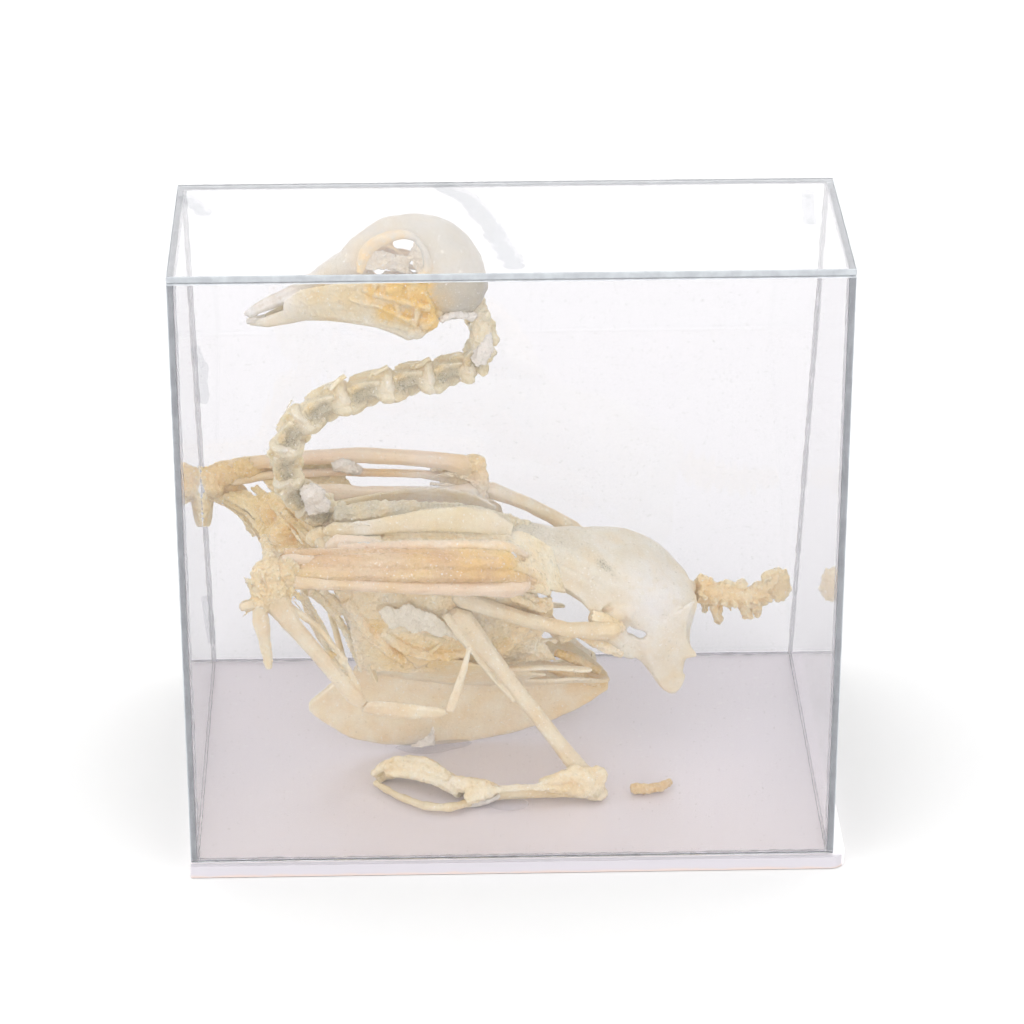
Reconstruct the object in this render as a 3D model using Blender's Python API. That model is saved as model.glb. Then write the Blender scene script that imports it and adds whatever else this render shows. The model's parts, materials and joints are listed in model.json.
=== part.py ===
# A pigeon's skeleton, glued to the white base of a clear case and closed in by it.
# Lengths are given in millimetres and turned into metres where a mesh is made.
# The case stands square to the world. The bird has a frame of its own: s runs back along
# the spine, h out to the bird's left (the side nearest the front), z up from the base's top.

import bpy
import bmesh
from math import sin, cos, pi, radians
from mathutils import Vector, Matrix

for old in list(bpy.data.objects):
    bpy.data.objects.remove(old)

MM = 0.001
GAP = 0.3                   # air left between two pieces that touch

# The case
CASE_WIDTH = 150.0
CASE_DEPTH_LOW = 100.0
CASE_DEPTH_HIGH = 53.5      # the back panel leans in to this depth
CASE_HEIGHT = 148.6
PANEL = 1.5
CASE_SHIFT = -1.4           # the case is glued a little left of the middle of its base
BASE_WIDTH = 152.8
BASE_DEPTH = 102.4
BASE_THICK = 3.0
BASE_CORNER = 3.5           # radius of the worn corner, front right

# The bird in the case
BIRD_YAW = radians(9.0)
KEEL_SPOT = Vector((CASE_SHIFT - 18.9, 4.0, BASE_THICK))     # where the keel stands on the base
SKULL_BACK = Vector((CASE_SHIFT - 4.4, -7.5, BASE_THICK + 133.0))
CLEAR_FLOOR = 0.35          # lowest point of any bone above the base

# Bone colours
CREAM = (0.86, 0.78, 0.60)
PALE = (0.88, 0.84, 0.70)
PINKISH = (0.80, 0.62, 0.43)
OCHRE = (0.74, 0.48, 0.22)
SPINE = (0.72, 0.66, 0.50)


# Materials

def make_material(name, colour, rough, alpha=1.0):
    """A plain finish of one colour."""
    mat = bpy.data.materials.new(name)
    mat.use_nodes = True
    shader = mat.node_tree.nodes["Principled BSDF"]
    shader.inputs["Base Color"].default_value = (*colour, 1.0)
    shader.inputs["Roughness"].default_value = rough
    shader.inputs["Metallic"].default_value = 0.0
    shader.inputs["Alpha"].default_value = alpha
    return mat


# Frames that carry the pieces

def make_empty(name, location, yaw):
    empty = bpy.data.objects.new(name, None)
    empty.location = location * MM
    empty.rotation_euler = (0.0, 0.0, yaw)
    bpy.context.scene.collection.objects.link(empty)
    return empty


bird = make_empty("bird_frame", KEEL_SPOT, BIRD_YAW)
head = make_empty("head_frame", SKULL_BACK, 0.0)


def on_bird(s, h, z):
    """A point of the bird's frame."""
    return Vector((s, -h, z))


def on_head(u, w, v):
    """A point of the head's frame: u forward from its back, w to its left, v up."""
    return Vector((-u, -w, v))


# Shapes

def curve_through(stations, steps):
    """Stations on a smooth curve through the given ones, all their values alike."""
    rows = []
    last = len(stations) - 1
    for i in range(last):
        a = stations[max(i - 1, 0)]
        b = stations[i]
        c = stations[i + 1]
        d = stations[min(i + 2, last)]
        for k in range(steps):
            t = k / steps
            row = []
            for p, q, r, e in zip(a, b, c, d):
                bend = 2 * p - 5 * q + 4 * r - e
                lift = 3 * q - p - 3 * r + e
                row.append(q + 0.5 * t * (r - p + t * (bend + t * lift)))
            rows.append(row)
    rows.append(list(stations[last]))
    return rows


def loft(rows, wide, sides, place=on_bird):
    """A closed tube along rows of (three place values, half width, half depth)."""
    centres = [place(*row[:3]) for row in rows]
    across = place(*wide)
    mesh = bmesh.new()
    rings = []
    for i, centre in enumerate(centres):
        ahead = centres[min(i + 1, len(rows) - 1)] - centres[max(i - 1, 0)]
        ahead.normalize()
        broad = (across - ahead * across.dot(ahead)).normalized()
        deep = ahead.cross(broad)
        half_width = max(rows[i][3], 0.22)
        half_depth = max(rows[i][4], 0.22)
        ring = []
        for k in range(sides):
            turn = 2 * pi * k / sides
            point = centre + broad * half_width * cos(turn) + deep * half_depth * sin(turn)
            ring.append(mesh.verts.new(point))
        rings.append(ring)
    for low, high in zip(rings, rings[1:]):
        for k in range(sides):
            n = (k + 1) % sides
            mesh.faces.new((low[k], low[n], high[n], high[k]))
    for ring, inner in ((rings[0], centres[1]), (rings[-1], centres[-2])):
        middle = sum((v.co for v in ring), Vector()) / sides
        out = (middle - inner).normalized()
        reach = 0.5 * min((v.co - middle).length for v in ring)
        pole = mesh.verts.new(middle + out * reach)
        for k in range(sides):
            mesh.faces.new((ring[k], ring[(k + 1) % sides], pole))
    bmesh.ops.triangulate(mesh, faces=mesh.faces)
    bmesh.ops.recalc_face_normals(mesh, faces=mesh.faces)
    return mesh


def tube(stations, wide=(0, 0, 1), sides=8, steps=1, place=on_bird):
    return loft(curve_through(stations, steps), wide, sides, place)


def lump(at, size, place=on_bird, fine=2, tilt=0.0):
    """A ball stretched to three half sizes along the frame's axes, tipped about h."""
    mesh = bmesh.new()
    bmesh.ops.create_icosphere(mesh, subdivisions=fine, radius=1.0)
    turn = Matrix.Rotation(radians(tilt), 3, "Y")
    for vert in mesh.verts:
        co = vert.co
        vert.co = place(*at) + turn @ Vector((co.x * size[0], co.y * size[1], co.z * size[2]))
    return mesh


def spike(start, end, thick, thin=0.25, sides=4, place=on_bird):
    """A tapered splinter."""
    rows = [(*start, thick, thick), (*end, thin, thin)]
    run = place(*end) - place(*start)
    wide = (0, 1, 0) if abs(run.normalized().y) < 0.8 else (0, 0, 1)
    return loft(rows, wide, sides, place)


# Joining, cutting and finishing

def as_object(mesh, name="piece"):
    data = bpy.data.meshes.new(name)
    mesh.to_mesh(data)
    mesh.free()
    obj = bpy.data.objects.new(name, data)
    bpy.context.scene.collection.objects.link(obj)
    return obj


def drop(obj):
    data = obj.data
    bpy.data.objects.remove(obj)
    bpy.data.meshes.remove(data)


def settle(obj):
    """Apply the modifiers of an object to its mesh."""
    graph = bpy.context.evaluated_depsgraph_get()
    graph.update()
    solid = bpy.data.meshes.new_from_object(obj.evaluated_get(graph))
    plain = obj.data
    obj.modifiers.clear()
    obj.data = solid
    bpy.data.meshes.remove(plain)


def welded(data, distance):
    mesh = bmesh.new()
    mesh.from_mesh(data)
    bmesh.ops.remove_doubles(mesh, verts=mesh.verts, dist=distance)
    bmesh.ops.triangulate(mesh, faces=mesh.faces)
    return mesh


def keep_largest(obj):
    """Weld the mesh where that leaves it closed, and keep its largest closed surface."""
    for distance in (0.00006, 0.00003, 0.00001, 0.000001):
        mesh = welded(obj.data, distance)
        if all(edge.is_manifold for edge in mesh.edges):
            break
        mesh.free()
    else:
        mesh = welded(obj.data, 0.0000001)
    seen = set()
    best = []
    for face in mesh.faces:
        if face in seen:
            continue
        seen.add(face)
        island = [face]
        for member in island:
            for edge in member.edges:
                for other in edge.link_faces:
                    if other not in seen:
                        seen.add(other)
                        island.append(other)
        if len(island) > len(best):
            best = island
    keep = set(best)
    scrap = [face for face in mesh.faces if face not in keep]
    bmesh.ops.delete(mesh, geom=scrap, context="FACES")
    bmesh.ops.recalc_face_normals(mesh, faces=mesh.faces)
    mesh.to_mesh(obj.data)
    mesh.free()


def fuse(pieces, cuts=()):
    """One solid from overlapping pieces, less what the cutters take."""
    main = as_object(pieces[0])
    main.data.transform(Matrix.Scale(MM, 4))
    group = bpy.data.collections.new("joined")
    for piece in pieces[1:]:
        part = as_object(piece)
        part.data.transform(Matrix.Scale(MM, 4))
        bpy.context.scene.collection.objects.unlink(part)
        group.objects.link(part)
    if len(pieces) > 1:
        bpy.context.scene.collection.children.link(group)
        join = main.modifiers.new("join", "BOOLEAN")
        join.operation = "UNION"
        join.operand_type = "COLLECTION"
        join.collection = group
        join.solver = "MANIFOLD"
        settle(main)
    for part in list(group.objects):
        drop(part)
    bpy.data.collections.remove(group)
    for cutter in cuts:
        tool = as_object(cutter)
        tool.data.transform(Matrix.Scale(MM, 4))
        carve(main, tool)
        drop(tool)
    keep_largest(main)
    return main


def carve(obj, tool):
    cut = obj.modifiers.new("cut", "BOOLEAN")
    cut.operation = "DIFFERENCE"
    cut.solver = "MANIFOLD"
    cut.object = tool
    settle(obj)


nodes = {}


def finish(name, obj, frame, mat):
    """Name a solid, hang it in its frame and put its origin at its middle."""
    obj.name = name
    obj.data.name = name
    corners = [Vector(corner) for corner in obj.bound_box]
    middle = sum(corners, Vector()) / 8
    obj.data.transform(Matrix.Translation(-middle))
    obj.location = middle
    obj.parent = frame
    obj.data.materials.clear()
    obj.data.materials.append(mat)
    nodes[name] = obj
    bpy.context.view_layer.update()
    return obj


def trim(name, *neighbours):
    """Cut a node back from its neighbours, so that it meets them face to face."""
    obj = nodes[name]
    for neighbour in neighbours:
        other = nodes[neighbour]
        tool = other.copy()
        tool.data = other.data.copy()
        bpy.context.scene.collection.objects.link(tool)
        mesh = bmesh.new()
        mesh.from_mesh(tool.data)
        mesh.normal_update()
        for vert in mesh.verts:
            vert.co += vert.normal * GAP * 1.25 * MM
        mesh.to_mesh(tool.data)
        mesh.free()
        carve(obj, tool)
        drop(tool)
    keep_largest(obj)


# The case

def panel_block(corners):
    """A flat-sided solid between four low and four high corners."""
    mesh = bmesh.new()
    verts = [mesh.verts.new(Vector(corner) * MM) for corner in corners]
    for ring in ((0, 3, 2, 1), (4, 5, 6, 7), (0, 1, 5, 4), (1, 2, 6, 5), (2, 3, 7, 6), (3, 0, 4, 7)):
        mesh.faces.new([verts[k] for k in ring])
    bmesh.ops.recalc_face_normals(mesh, faces=mesh.faces)
    return as_object(mesh)


def back_depth(height):
    """How far back the outside of the leaning panel is at a height above the base."""
    return CASE_DEPTH_LOW - (CASE_DEPTH_LOW - CASE_DEPTH_HIGH) * height / CASE_HEIGHT


def make_case():
    """The base plate and five clear panels, with a hair's gap at each glued edge."""
    clear = make_material("clear_acrylic", (0.93, 0.95, 0.97), 0.05, 0.25)
    white = make_material("base_acrylic", (0.84, 0.82, 0.87), 0.35)
    left = CASE_SHIFT - CASE_WIDTH / 2
    right = CASE_SHIFT + CASE_WIDTH / 2
    front = -CASE_DEPTH_LOW / 2
    low = BASE_THICK + GAP
    top = BASE_THICK + CASE_HEIGHT
    under = top - PANEL - GAP

    def side_panel(name, x0, x1):
        deep_low = front + back_depth(GAP) - PANEL - GAP
        deep_high = front + back_depth(CASE_HEIGHT - PANEL - GAP) - PANEL - GAP
        near = front + PANEL + GAP
        finish(name, panel_block([
            (x0, near, low), (x1, near, low), (x1, deep_low, low), (x0, deep_low, low),
            (x0, near, under), (x1, near, under), (x1, deep_high, under), (x0, deep_high, under)]),
            None, clear)

    side_panel("case_left", left, left + PANEL)
    side_panel("case_right", right - PANEL, right)
    y_low = front + back_depth(GAP)
    y_high = front + back_depth(CASE_HEIGHT - PANEL - GAP)
    finish("case_front", panel_block([
        (left, front, low), (right, front, low), (right, front + PANEL, low), (left, front + PANEL, low),
        (left, front, under), (right, front, under), (right, front + PANEL, under),
        (left, front + PANEL, under)]), None, clear)
    finish("case_back", panel_block([
        (left, y_low - PANEL, low), (right, y_low - PANEL, low), (right, y_low, low), (left, y_low, low),
        (left, y_high - PANEL, under), (right, y_high - PANEL, under), (right, y_high, under),
        (left, y_high, under)]), None, clear)
    y_top = front + CASE_DEPTH_HIGH
    finish("case_top", panel_block([
        (left, front, top - PANEL), (right, front, top - PANEL),
        (right, y_top, top - PANEL), (left, y_top, top - PANEL),
        (left, front, top), (right, front, top), (right, y_top, top), (left, y_top, top)]),
        None, clear)

    mesh = bmesh.new()
    bmesh.ops.create_cube(mesh, size=1.0)
    for vert in mesh.verts:
        vert.co.x *= BASE_WIDTH * MM
        vert.co.y *= BASE_DEPTH * MM
        vert.co.z = (vert.co.z + 0.5) * BASE_THICK * MM
    corner = [edge for edge in mesh.edges
              if all(v.co.x > 0 and v.co.y < 0 for v in edge.verts)]
    bmesh.ops.bevel(mesh, geom=corner, offset=BASE_CORNER * MM, segments=4, affect="EDGES", profile=0.5)
    finish("case_base", as_object(mesh), None, white)


# The head

def make_skull():
    """The braincase and upper bill, with its two orbits and the thin wall between."""
    outline = [
        # forward, top, bottom, half width
        (0.8, -1.6, -9.6, 4.6),
        (2.8, 2.4, -12.2, 7.4),
        (6.2, 7.2, -13.8, 9.0),
        (10.5, 10.6, -14.2, 9.6),
        (15.0, 11.5, -13.2, 9.4),
        (19.5, 11.4, -11.0, 8.3),
        (23.5, 11.1, -9.4, 6.8),
        (27.5, 9.8, -8.8, 5.6),
        (31.0, 7.6, -8.5, 5.1),
        (34.2, 3.0, -8.2, 4.8),
        (37.6, -1.7, -7.6, 4.3),
        (41.5, -4.7, -7.2, 3.4),
        (45.0, -6.3, -8.2, 2.7),
        (48.6, -7.8, -9.6, 2.0),
        (52.2, -9.4, -11.4, 1.45),
        (54.8, -11.4, -12.8, .8)]
    rows = []
    for u, high, low, half in outline:
        rows.append((u, 0.0, (high + low) / 2, half, (high - low) / 2))
    shell = loft(rows, (0, 1, 0), 16, on_head)
    pieces = [shell]
    cuts = []
    for side in (1, -1):
        jugal = [(37.5, 4.0, -6.9, .9, .7), (31.0, 6.4, -7.6, .6, .45), (24.0, 7.9, -8.4, .55, .4),
                 (18.5, 8.2, -9.2, .8, .5)]
        pieces.append(tube([(u, w * side, v, a, b) for u, w, v, a, b in jugal], (0, 0, 1), 6, 1, on_head))
        quadrate = [(14.0, 7.6, -3.5, 1.9, 1.2), (16.3, 7.9, -7.0, 1.3, 1.0), (17.6, 7.9, -9.6, 2.0, 1.4)]
        pieces.append(tube([(u, w * side, v, a, b) for u, w, v, a, b in quadrate], (1, 0, 0), 6, 1, on_head))
        pterygoid = [(17.5, 6.6, -8.8, .7, .7), (23.0, 3.6, -8.6, .6, .6), (27.5, 1.4, -8.0, .8, .7)]
        pieces.append(tube([(u, w * side, v, a, b) for u, w, v, a, b in pterygoid], (0, 0, 1), 6, 1, on_head))
        pieces.append(spike((16.2, 8.9 * side, 0.4), (19.2, 9.0 * side, -5.6), 1.0, 0.35, 5, on_head))
        cuts.append(lump((21.7, 8.4 * side, 2.7), (7.5, 7.5, 7.4), on_head, 3))
        cuts.append(lump((26.4, 7.6 * side, -4.9), (7.4, 5.6, 3.4), on_head, 2))
    cuts.append(lump((19.0, 0, 5.3), (1.9, 3.0, 1.5), on_head))
    cuts.append(lump((24.4, 0, 1.0), (2.5, 3.0, 1.5), on_head))
    nasal = fuse(pieces, cuts)
    finish("skull", nasal, head, make_material("skull_bone", PALE, 0.45))


def make_mandible():
    """Two rami, deep at the jaw joint, that meet in the tip of the lower bill."""
    outline = [
        # forward, top, bottom, to the side, half thickness
        (13.4, -12.1, -13.3, 7.6, .5),
        (15.6, -11.0, -14.5, 7.8, 1.1),
        (18.2, -11.3, -15.4, 7.8, 1.4),
        (21.2, -10.2, -13.9, 7.5, 1.0),
        (25.5, -9.7, -12.5, 6.9, .8),
        (31.0, -9.0, -11.9, 5.9, .7),
        (37.0, -8.2, -11.7, 4.6, .6),
        (42.0, -8.2, -12.1, 3.5, .6),
        (46.5, -10.0, -13.6, 2.2, .6),
        (50.5, -12.0, -14.7, 1.1, .7),
        (54.6, -13.3, -14.5, .2, .5)]
    pieces = []
    for side in (1, -1):
        rows = []
        for u, high, low, w, half in outline:
            rows.append((u, w * side, (high + low) / 2, (high - low) / 2, half))
        pieces.append(loft(rows, (0, 0, 1), 6, on_head))
    pieces.append(lump((50.6, 0, -13.5), (2.2, 1.1, .8), on_head))
    finish("mandible", fuse(pieces), head, make_material("mandible_bone", CREAM, 0.5))


# The spine

NECK_COURSE = [
    # along the spine, to the side, height
    (9.5, 12.9, 122.7), (10.8, 12.6, 117.0), (10.9, 12.1, 111.9), (9.6, 11.4, 107.6),
    (5.3, 10.2, 105.2), (-1.5, 8.7, 103.1), (-7.5, 7.3, 101.7), (-14.0, 5.8, 100.0),
    (-20.0, 4.5, 97.6), (-25.7, 3.1, 94.1), (-30.3, 1.9, 89.7), (-33.0, 1.0, 84.6),
    (-34.0, 0.4, 78.9), (-33.2, 0.1, 73.0), (-30.3, 0.0, 68.2), (-25.5, 0.0, 65.2)]


def course_points(course, spacing):
    """Points at even spacing along a smooth curve."""
    fine = [Vector(row) for row in curve_through(course, 12)]
    points = [fine[0]]
    left = spacing
    for a, b in zip(fine, fine[1:]):
        run = (b - a).length
        spot = 0.0
        while run - spot >= left:
            spot += left
            points.append(a.lerp(b, spot / run))
            left = spacing
        left -= run - spot
    return points


def neck_bone(course, first, count, pitch, girth):
    """Some neck bones on end: each waisted, flared at its joints, with rib splinters."""
    cell = 4
    points = course_points(course, pitch / cell)
    low = int(first * cell)
    high = min(int((first + count) * cell), len(points) - 1)
    swell = (1.12, 0.86, 0.80, 0.94)
    rows = []
    for k in range(low, high + 1):
        beat = swell[k % cell]
        size = girth(k / cell)
        rows.append((*points[k], size * beat * 1.15, size * beat))
    pieces = [loft(rows, (0, 1, 0), 8)]
    for j in range(int(count) + 1):
        k = low + j * cell
        if k + 3 > high:
            break
        size = girth(k / cell)
        here = points[k + 1]
        along = (points[min(k + 3, len(points) - 1)] - points[k]).normalized()
        side = Vector((0, 1, 0))
        # the throat side lies to the left of the way down the neck
        throat = side.cross(along).normalized()
        for hand in (1, -1):
            root = here + side * hand * size * 0.72 + throat * size * 0.55
            tip = root + along * pitch * 0.62 + throat * size * 0.30 + side * hand * 0.4
            pieces.append(spike(tuple(root - along * 0.8), tuple(tip), 0.62, 0.25))
            joint = points[k] + side * hand * size * 0.80 - throat * size * 0.62
            pieces.append(lump(tuple(joint), (1.5, 1.1, 1.5), fine=1))
    return fuse(pieces)


def neck_girth(place):
    """Half thickness of the neck, by the number of bones down from the skull."""
    return 2.85 + 0.09 * place


def make_neck():
    bone = make_material("neck_bone", SPINE, 0.55)
    pitch = 9.2
    spans = (("neck_upper", 0, 3), ("neck_middle", 3, 4), ("neck_lower", 7, 3))
    for name, first, count in spans:
        solid = neck_bone(NECK_COURSE, first + (0.25 if first else 0), count - (0.25 if first else 0),
                          pitch, neck_girth)
        finish(name, solid, bird, bone)


def make_back():
    """The fused chest spine: body, blunt crest, cross processes and rib roots."""
    course = [(-23.6, 0, 64.4, 2.6, 2.6), (-18, 0, 63.6, 2.3, 2.5), (-8, 0, 62.4, 2.3, 2.5),
              (4, 0, 60.8, 2.3, 2.5), (14, 0, 59.0, 2.4, 2.6), (19.5, 0, 57.6, 2.2, 2.4)]
    pieces = [tube(course, (0, 1, 0), 8)]
    crest = [(-22, 0, 66.6, 1.2, .6), (-10, 0, 65.2, 1.6, .7), (4, 0, 63.6, 1.6, .7), (16, 0, 61.8, 1.4, .6)]
    pieces.append(tube(crest, (0, 0, 1), 6))
    for k in range(6):
        s = -20.5 + 7.2 * k
        z = 64.2 - 0.155 * (s + 20)
        for side in (1, -1):
            pieces.append(tube([(s, 1.2 * side, z, 1.5, .8), (s + .6, 4.2 * side, z + .9, 1.2, .6),
                                (s + 1.0, 6.3 * side, z + 1.0, .9, .5)], (1, 0, 0), 4))
    finish("back", fuse(pieces), bird, make_material("back_bone", SPINE, 0.55))


def make_tail():
    """Free tail bones with cross and lower processes, and the ploughshare at the end."""
    bone = make_material("tail_bone", OCHRE, 0.6)
    course = [(66.6, 0, 37.2), (70.2, 0, 35.3), (74.8, 0, 34.0), (79.6, 0, 33.5), (83.6, 0, 34.4)]
    points = course_points(course, 1.45)
    rows = []
    for k, point in enumerate(points):
        beat = (1.12, 0.88)[k % 2]
        rows.append((*point, 2.4 * beat, 2.7 * beat))
    pieces = [loft(rows, (0, 1, 0), 6)]
    for k in range(0, len(points), 2):
        s, h, z = points[k]
        for side in (1, -1):
            pieces.append(spike((s, .8 * side, z), (s + .8, (5.0 - 0.1 * k) * side, z - .4), 1.3, .7, 4))
        pieces.append(spike((s, 0, z + .8), (s + .6, 0, z + 3.9), 1.4, .8, 4))
        pieces.append(spike((s, 0, z - .8), (s + .3, 0, z - 3.6), 1.1, .7, 3))
    # the long lower processes: along, root height, tip height, thickness
    for s, root, tip, thick in ((68.0, 35.0, 30.4, 1.2), (71.5, 34.0, 27.6, 1.6), (78.4, 32.6, 27.9, 1.3),
                                (81.4, 32.6, 27.9, 1.3)):
        pieces.append(spike((s, 0, root), (s + .5, 0, tip), thick, thick * .8, 4))
    finish("tail", fuse(pieces), bird, bone)
    plough = [(84.4, 0, 35.3, 4.9, 1.4), (86.0, 0, 36.2, 5.2, 1.2), (88.2, 0, 37.2, 4.2, .9),
              (89.5, 0, 37.4, 2.6, .6)]
    blade = fuse([tube(plough, (-.3, 0, .95), 8)])
    finish("pygostyle", blade, bird, bone)


# The trunk

def make_pelvis():
    """A thin arched shell over a row of fused bones, deep and broad at the back."""
    outline = [
        # along, crest, half width, edge height
        (17.5, 60.0, 2.4, 58.6),
        (21.5, 60.2, 5.2, 54.6),
        (27.0, 58.8, 7.4, 48.6),
        (33.0, 56.8, 9.0, 45.0),
        (39.0, 54.4, 11.0, 41.0),
        (44.5, 52.5, 13.2, 36.0),
        (50.0, 50.4, 14.4, 28.6),
        (54.5, 47.8, 14.6, 20.8),
        (58.5, 44.8, 13.9, 17.2),
        (62.0, 42.0, 12.6, 19.4),
        (65.1, 39.2, 10.8, 26.0)]
    roll = radians(14.0)        # the near side hangs lower than the far side
    pivot = 50.0
    steps = 5
    mesh = bmesh.new()
    loops = []
    for s, crest, half, edge in outline:
        ring = []
        for inset in (0.0, 0.95):
            arch = []
            for k in range(-steps, steps + 1):
                bend = abs(k / steps) * pi / 2
                out = 1 if k >= 0 else -1
                h = (half * sin(bend) ** 0.72 - inset * sin(bend)) * out
                z = crest - (crest - edge) * (1 - cos(bend)) ** 1.5 - inset * (cos(bend) + .15)
                arch.append((h, z))
            ring += arch if inset == 0 else arch[::-1]
        loop = []
        for h, z in ring:
            turned_h = h * cos(roll) + (z - pivot) * sin(roll)
            turned_z = pivot + (z - pivot) * cos(roll) - h * sin(roll)
            loop.append(mesh.verts.new(on_bird(s, turned_h + 1.4, turned_z)))
        loops.append(loop)
    count = len(loops[0])
    for low, high in zip(loops, loops[1:]):
        for k in range(count):
            n = (k + 1) % count
            mesh.faces.new((low[k], low[n], high[n], high[k]))
    for loop in (loops[0], loops[-1]):
        arch = count // 2
        for k in range(arch - 1):
            mesh.faces.new((loop[k], loop[k + 1], loop[count - 2 - k], loop[count - 1 - k]))
    bmesh.ops.triangulate(mesh, faces=mesh.faces)
    bmesh.ops.recalc_face_normals(mesh, faces=mesh.faces)
    pieces = [mesh]
    sacrum = [(19.0, .8, 56.8, 2.4, 2.2), (27, 1.0, 55.2, 2.8, 2.2), (36, 1.0, 52.4, 3.2, 2.4),
              (46, .8, 48.0, 2.8, 2.2), (55, .6, 43.6, 2.2, 1.8), (65.6, .2, 37.6, 2.0, 1.8)]
    pieces.append(tube(sacrum, (0, 1, 0), 8))
    for side, lift, shift in ((1, 0.0, -.6), (-1, 5.0, -1.6)):
        pieces.append(lump((42.6, 10.4 * side + shift, 37.2 + lift), (3.4, 1.9, 3.2)))
        pubis = [(44, 11.4 * side + shift, 34.0 + lift, 1.1, .8),
                 (50, 12.2 * side + shift, 26.0 + lift, .9, .7),
                 (55, 11.4 * side + shift * 2, 19.0 + lift, 1.2, .7),
                 (58.4, 10.6 * side + shift * 2, 14.8 + lift, 1.5, .6),
                 (59.8, 10.2 * side + shift * 2, 13.6 + lift, .8, .5)]
        pieces.append(tube(pubis, (.8, 0, .6), 6))
    cuts = [lump((49.2, 11.0, 31.6), (2.4, 5.0, 1.8), tilt=20),
            lump((49.2, -13.0, 38.0), (2.4, 5.0, 1.8), tilt=20)]
    finish("pelvis", fuse(pieces, cuts), bird, make_material("pelvis_bone", PALE, 0.45))


def make_sternum():
    """The breast plate, its deep keel and the notched hind edge."""
    plate = [
        # along, middle height, half width, rise of the edge
        (-15.5, 23.4, 2.4, .6),
        (-12.0, 23.0, 7.6, 5.0),
        (-6.0, 21.4, 11.8, 11.0),
        (2.0, 19.6, 13.6, 12.4),
        (12.0, 18.4, 14.8, 11.0),
        (22.0, 17.6, 15.0, 9.2),
        (30.0, 17.2, 13.2, 7.0),
        (37.0, 16.6, 9.6, 4.0),
        (42.0, 15.8, 5.6, 1.6),
        (44.6, 15.0, 1.6, .3)]
    steps = 4
    wall = 1.1
    mesh = bmesh.new()
    loops = []
    for s, middle, half, rise in plate:
        upper = []
        lower = []
        for k in range(-steps, steps + 1):
            t = k / steps
            z = middle + rise * t * t
            upper.append(mesh.verts.new(on_bird(s, half * t, z)))
            lower.append(mesh.verts.new(on_bird(s, half * t, z - wall * (1 - 0.25 * t * t))))
        loops.append(upper + lower[::-1])
    count = len(loops[0])
    for low, high in zip(loops, loops[1:]):
        for k in range(count):
            n = (k + 1) % count
            mesh.faces.new((low[k], low[n], high[n], high[k]))
    for loop in (loops[0], loops[-1]):
        arch = count // 2
        for k in range(arch - 1):
            mesh.faces.new((loop[k], loop[k + 1], loop[count - 2 - k], loop[count - 1 - k]))
    bmesh.ops.triangulate(mesh, faces=mesh.faces)
    bmesh.ops.recalc_face_normals(mesh, faces=mesh.faces)

    keel = [
        # along, lower edge, upper edge
        (-29.5, 13.0, 15.0),
        (-28.0, 11.4, 16.4),
        (-24.6, 8.4, 19.2),
        (-21.6, 5.9, 21.8),
        (-19.0, 4.2, 22.6),
        (-11.0, 1.7, 22.6),
        (0.0, .35, 19.8),
        (10.0, .45, 18.3),
        (20.0, 1.6, 17.5),
        (30.0, 4.0, 16.9),
        (38.0, 7.4, 16.2),
        (44.4, 11.6, 15.2)]
    blade = bmesh.new()
    loops = []
    for s, low_z, high_z in keel:
        tall = high_z - low_z
        edge = min(.75, tall * .2)
        side = [(.30, low_z), (edge, low_z + tall * .07), (.5, low_z + tall * .25),
                (.55, low_z + tall * .75), (.9, high_z)]
        ring = [blade.verts.new(on_bird(s, h, z)) for h, z in side]
        ring += [blade.verts.new(on_bird(s, -h, z)) for h, z in reversed(side)]
        loops.append(ring)
    count = len(loops[0])
    for low, high in zip(loops, loops[1:]):
        for k in range(count):
            n = (k + 1) % count
            blade.faces.new((low[k], low[n], high[n], high[k]))
    for loop in (loops[0], loops[-1]):
        for k in range(count // 2 - 1):
            blade.faces.new((loop[k], loop[k + 1], loop[count - 2 - k], loop[count - 1 - k]))
    bmesh.ops.triangulate(blade, faces=blade.faces)
    bmesh.ops.recalc_face_normals(blade, faces=blade.faces)

    pieces = [mesh, blade]
    rostrum = [(-18.0, 0, 23.6, .8, .8), (-15.0, 0, 22.8, 1.3, 1.3), (-11.0, 0, 21.6, 1.2, 1.6)]
    pieces.append(tube(rostrum, (0, 1, 0), 6, 1))
    for side in (1, -1):
        horn = [(-3.0, 11.4 * side, 29.6, 2.4, .6), (-7.0, 12.6 * side, 34.0, 1.8, .6),
                (-9.4, 13.0 * side, 38.0, .9, .5)]
        pieces.append(tube(horn, (1, 0, 0), 6))
        process = [(16, 14.0 * side, 27.4, 1.2, .5), (26, 16.0 * side, 28.0, 1.0, .5),
                   (34.5, 16.8 * side, 27.0, 1.5, .5), (36.8, 16.6 * side, 26.6, .8, .4)]
        pieces.append(tube(process, (0, 1, 0), 6))
    cuts = []
    for side in (1, -1):
        cuts.append(lump((30.0, 12.4 * side, 22.6), (9.0, 2.2, 4.4)))
        cuts.append(lump((34.0, 5.8 * side, 17.8), (5.0, 1.8, 2.8), fine=1))
    finish("sternum", fuse(pieces, cuts), bird, make_material("sternum_bone", CREAM, 0.5))


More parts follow.
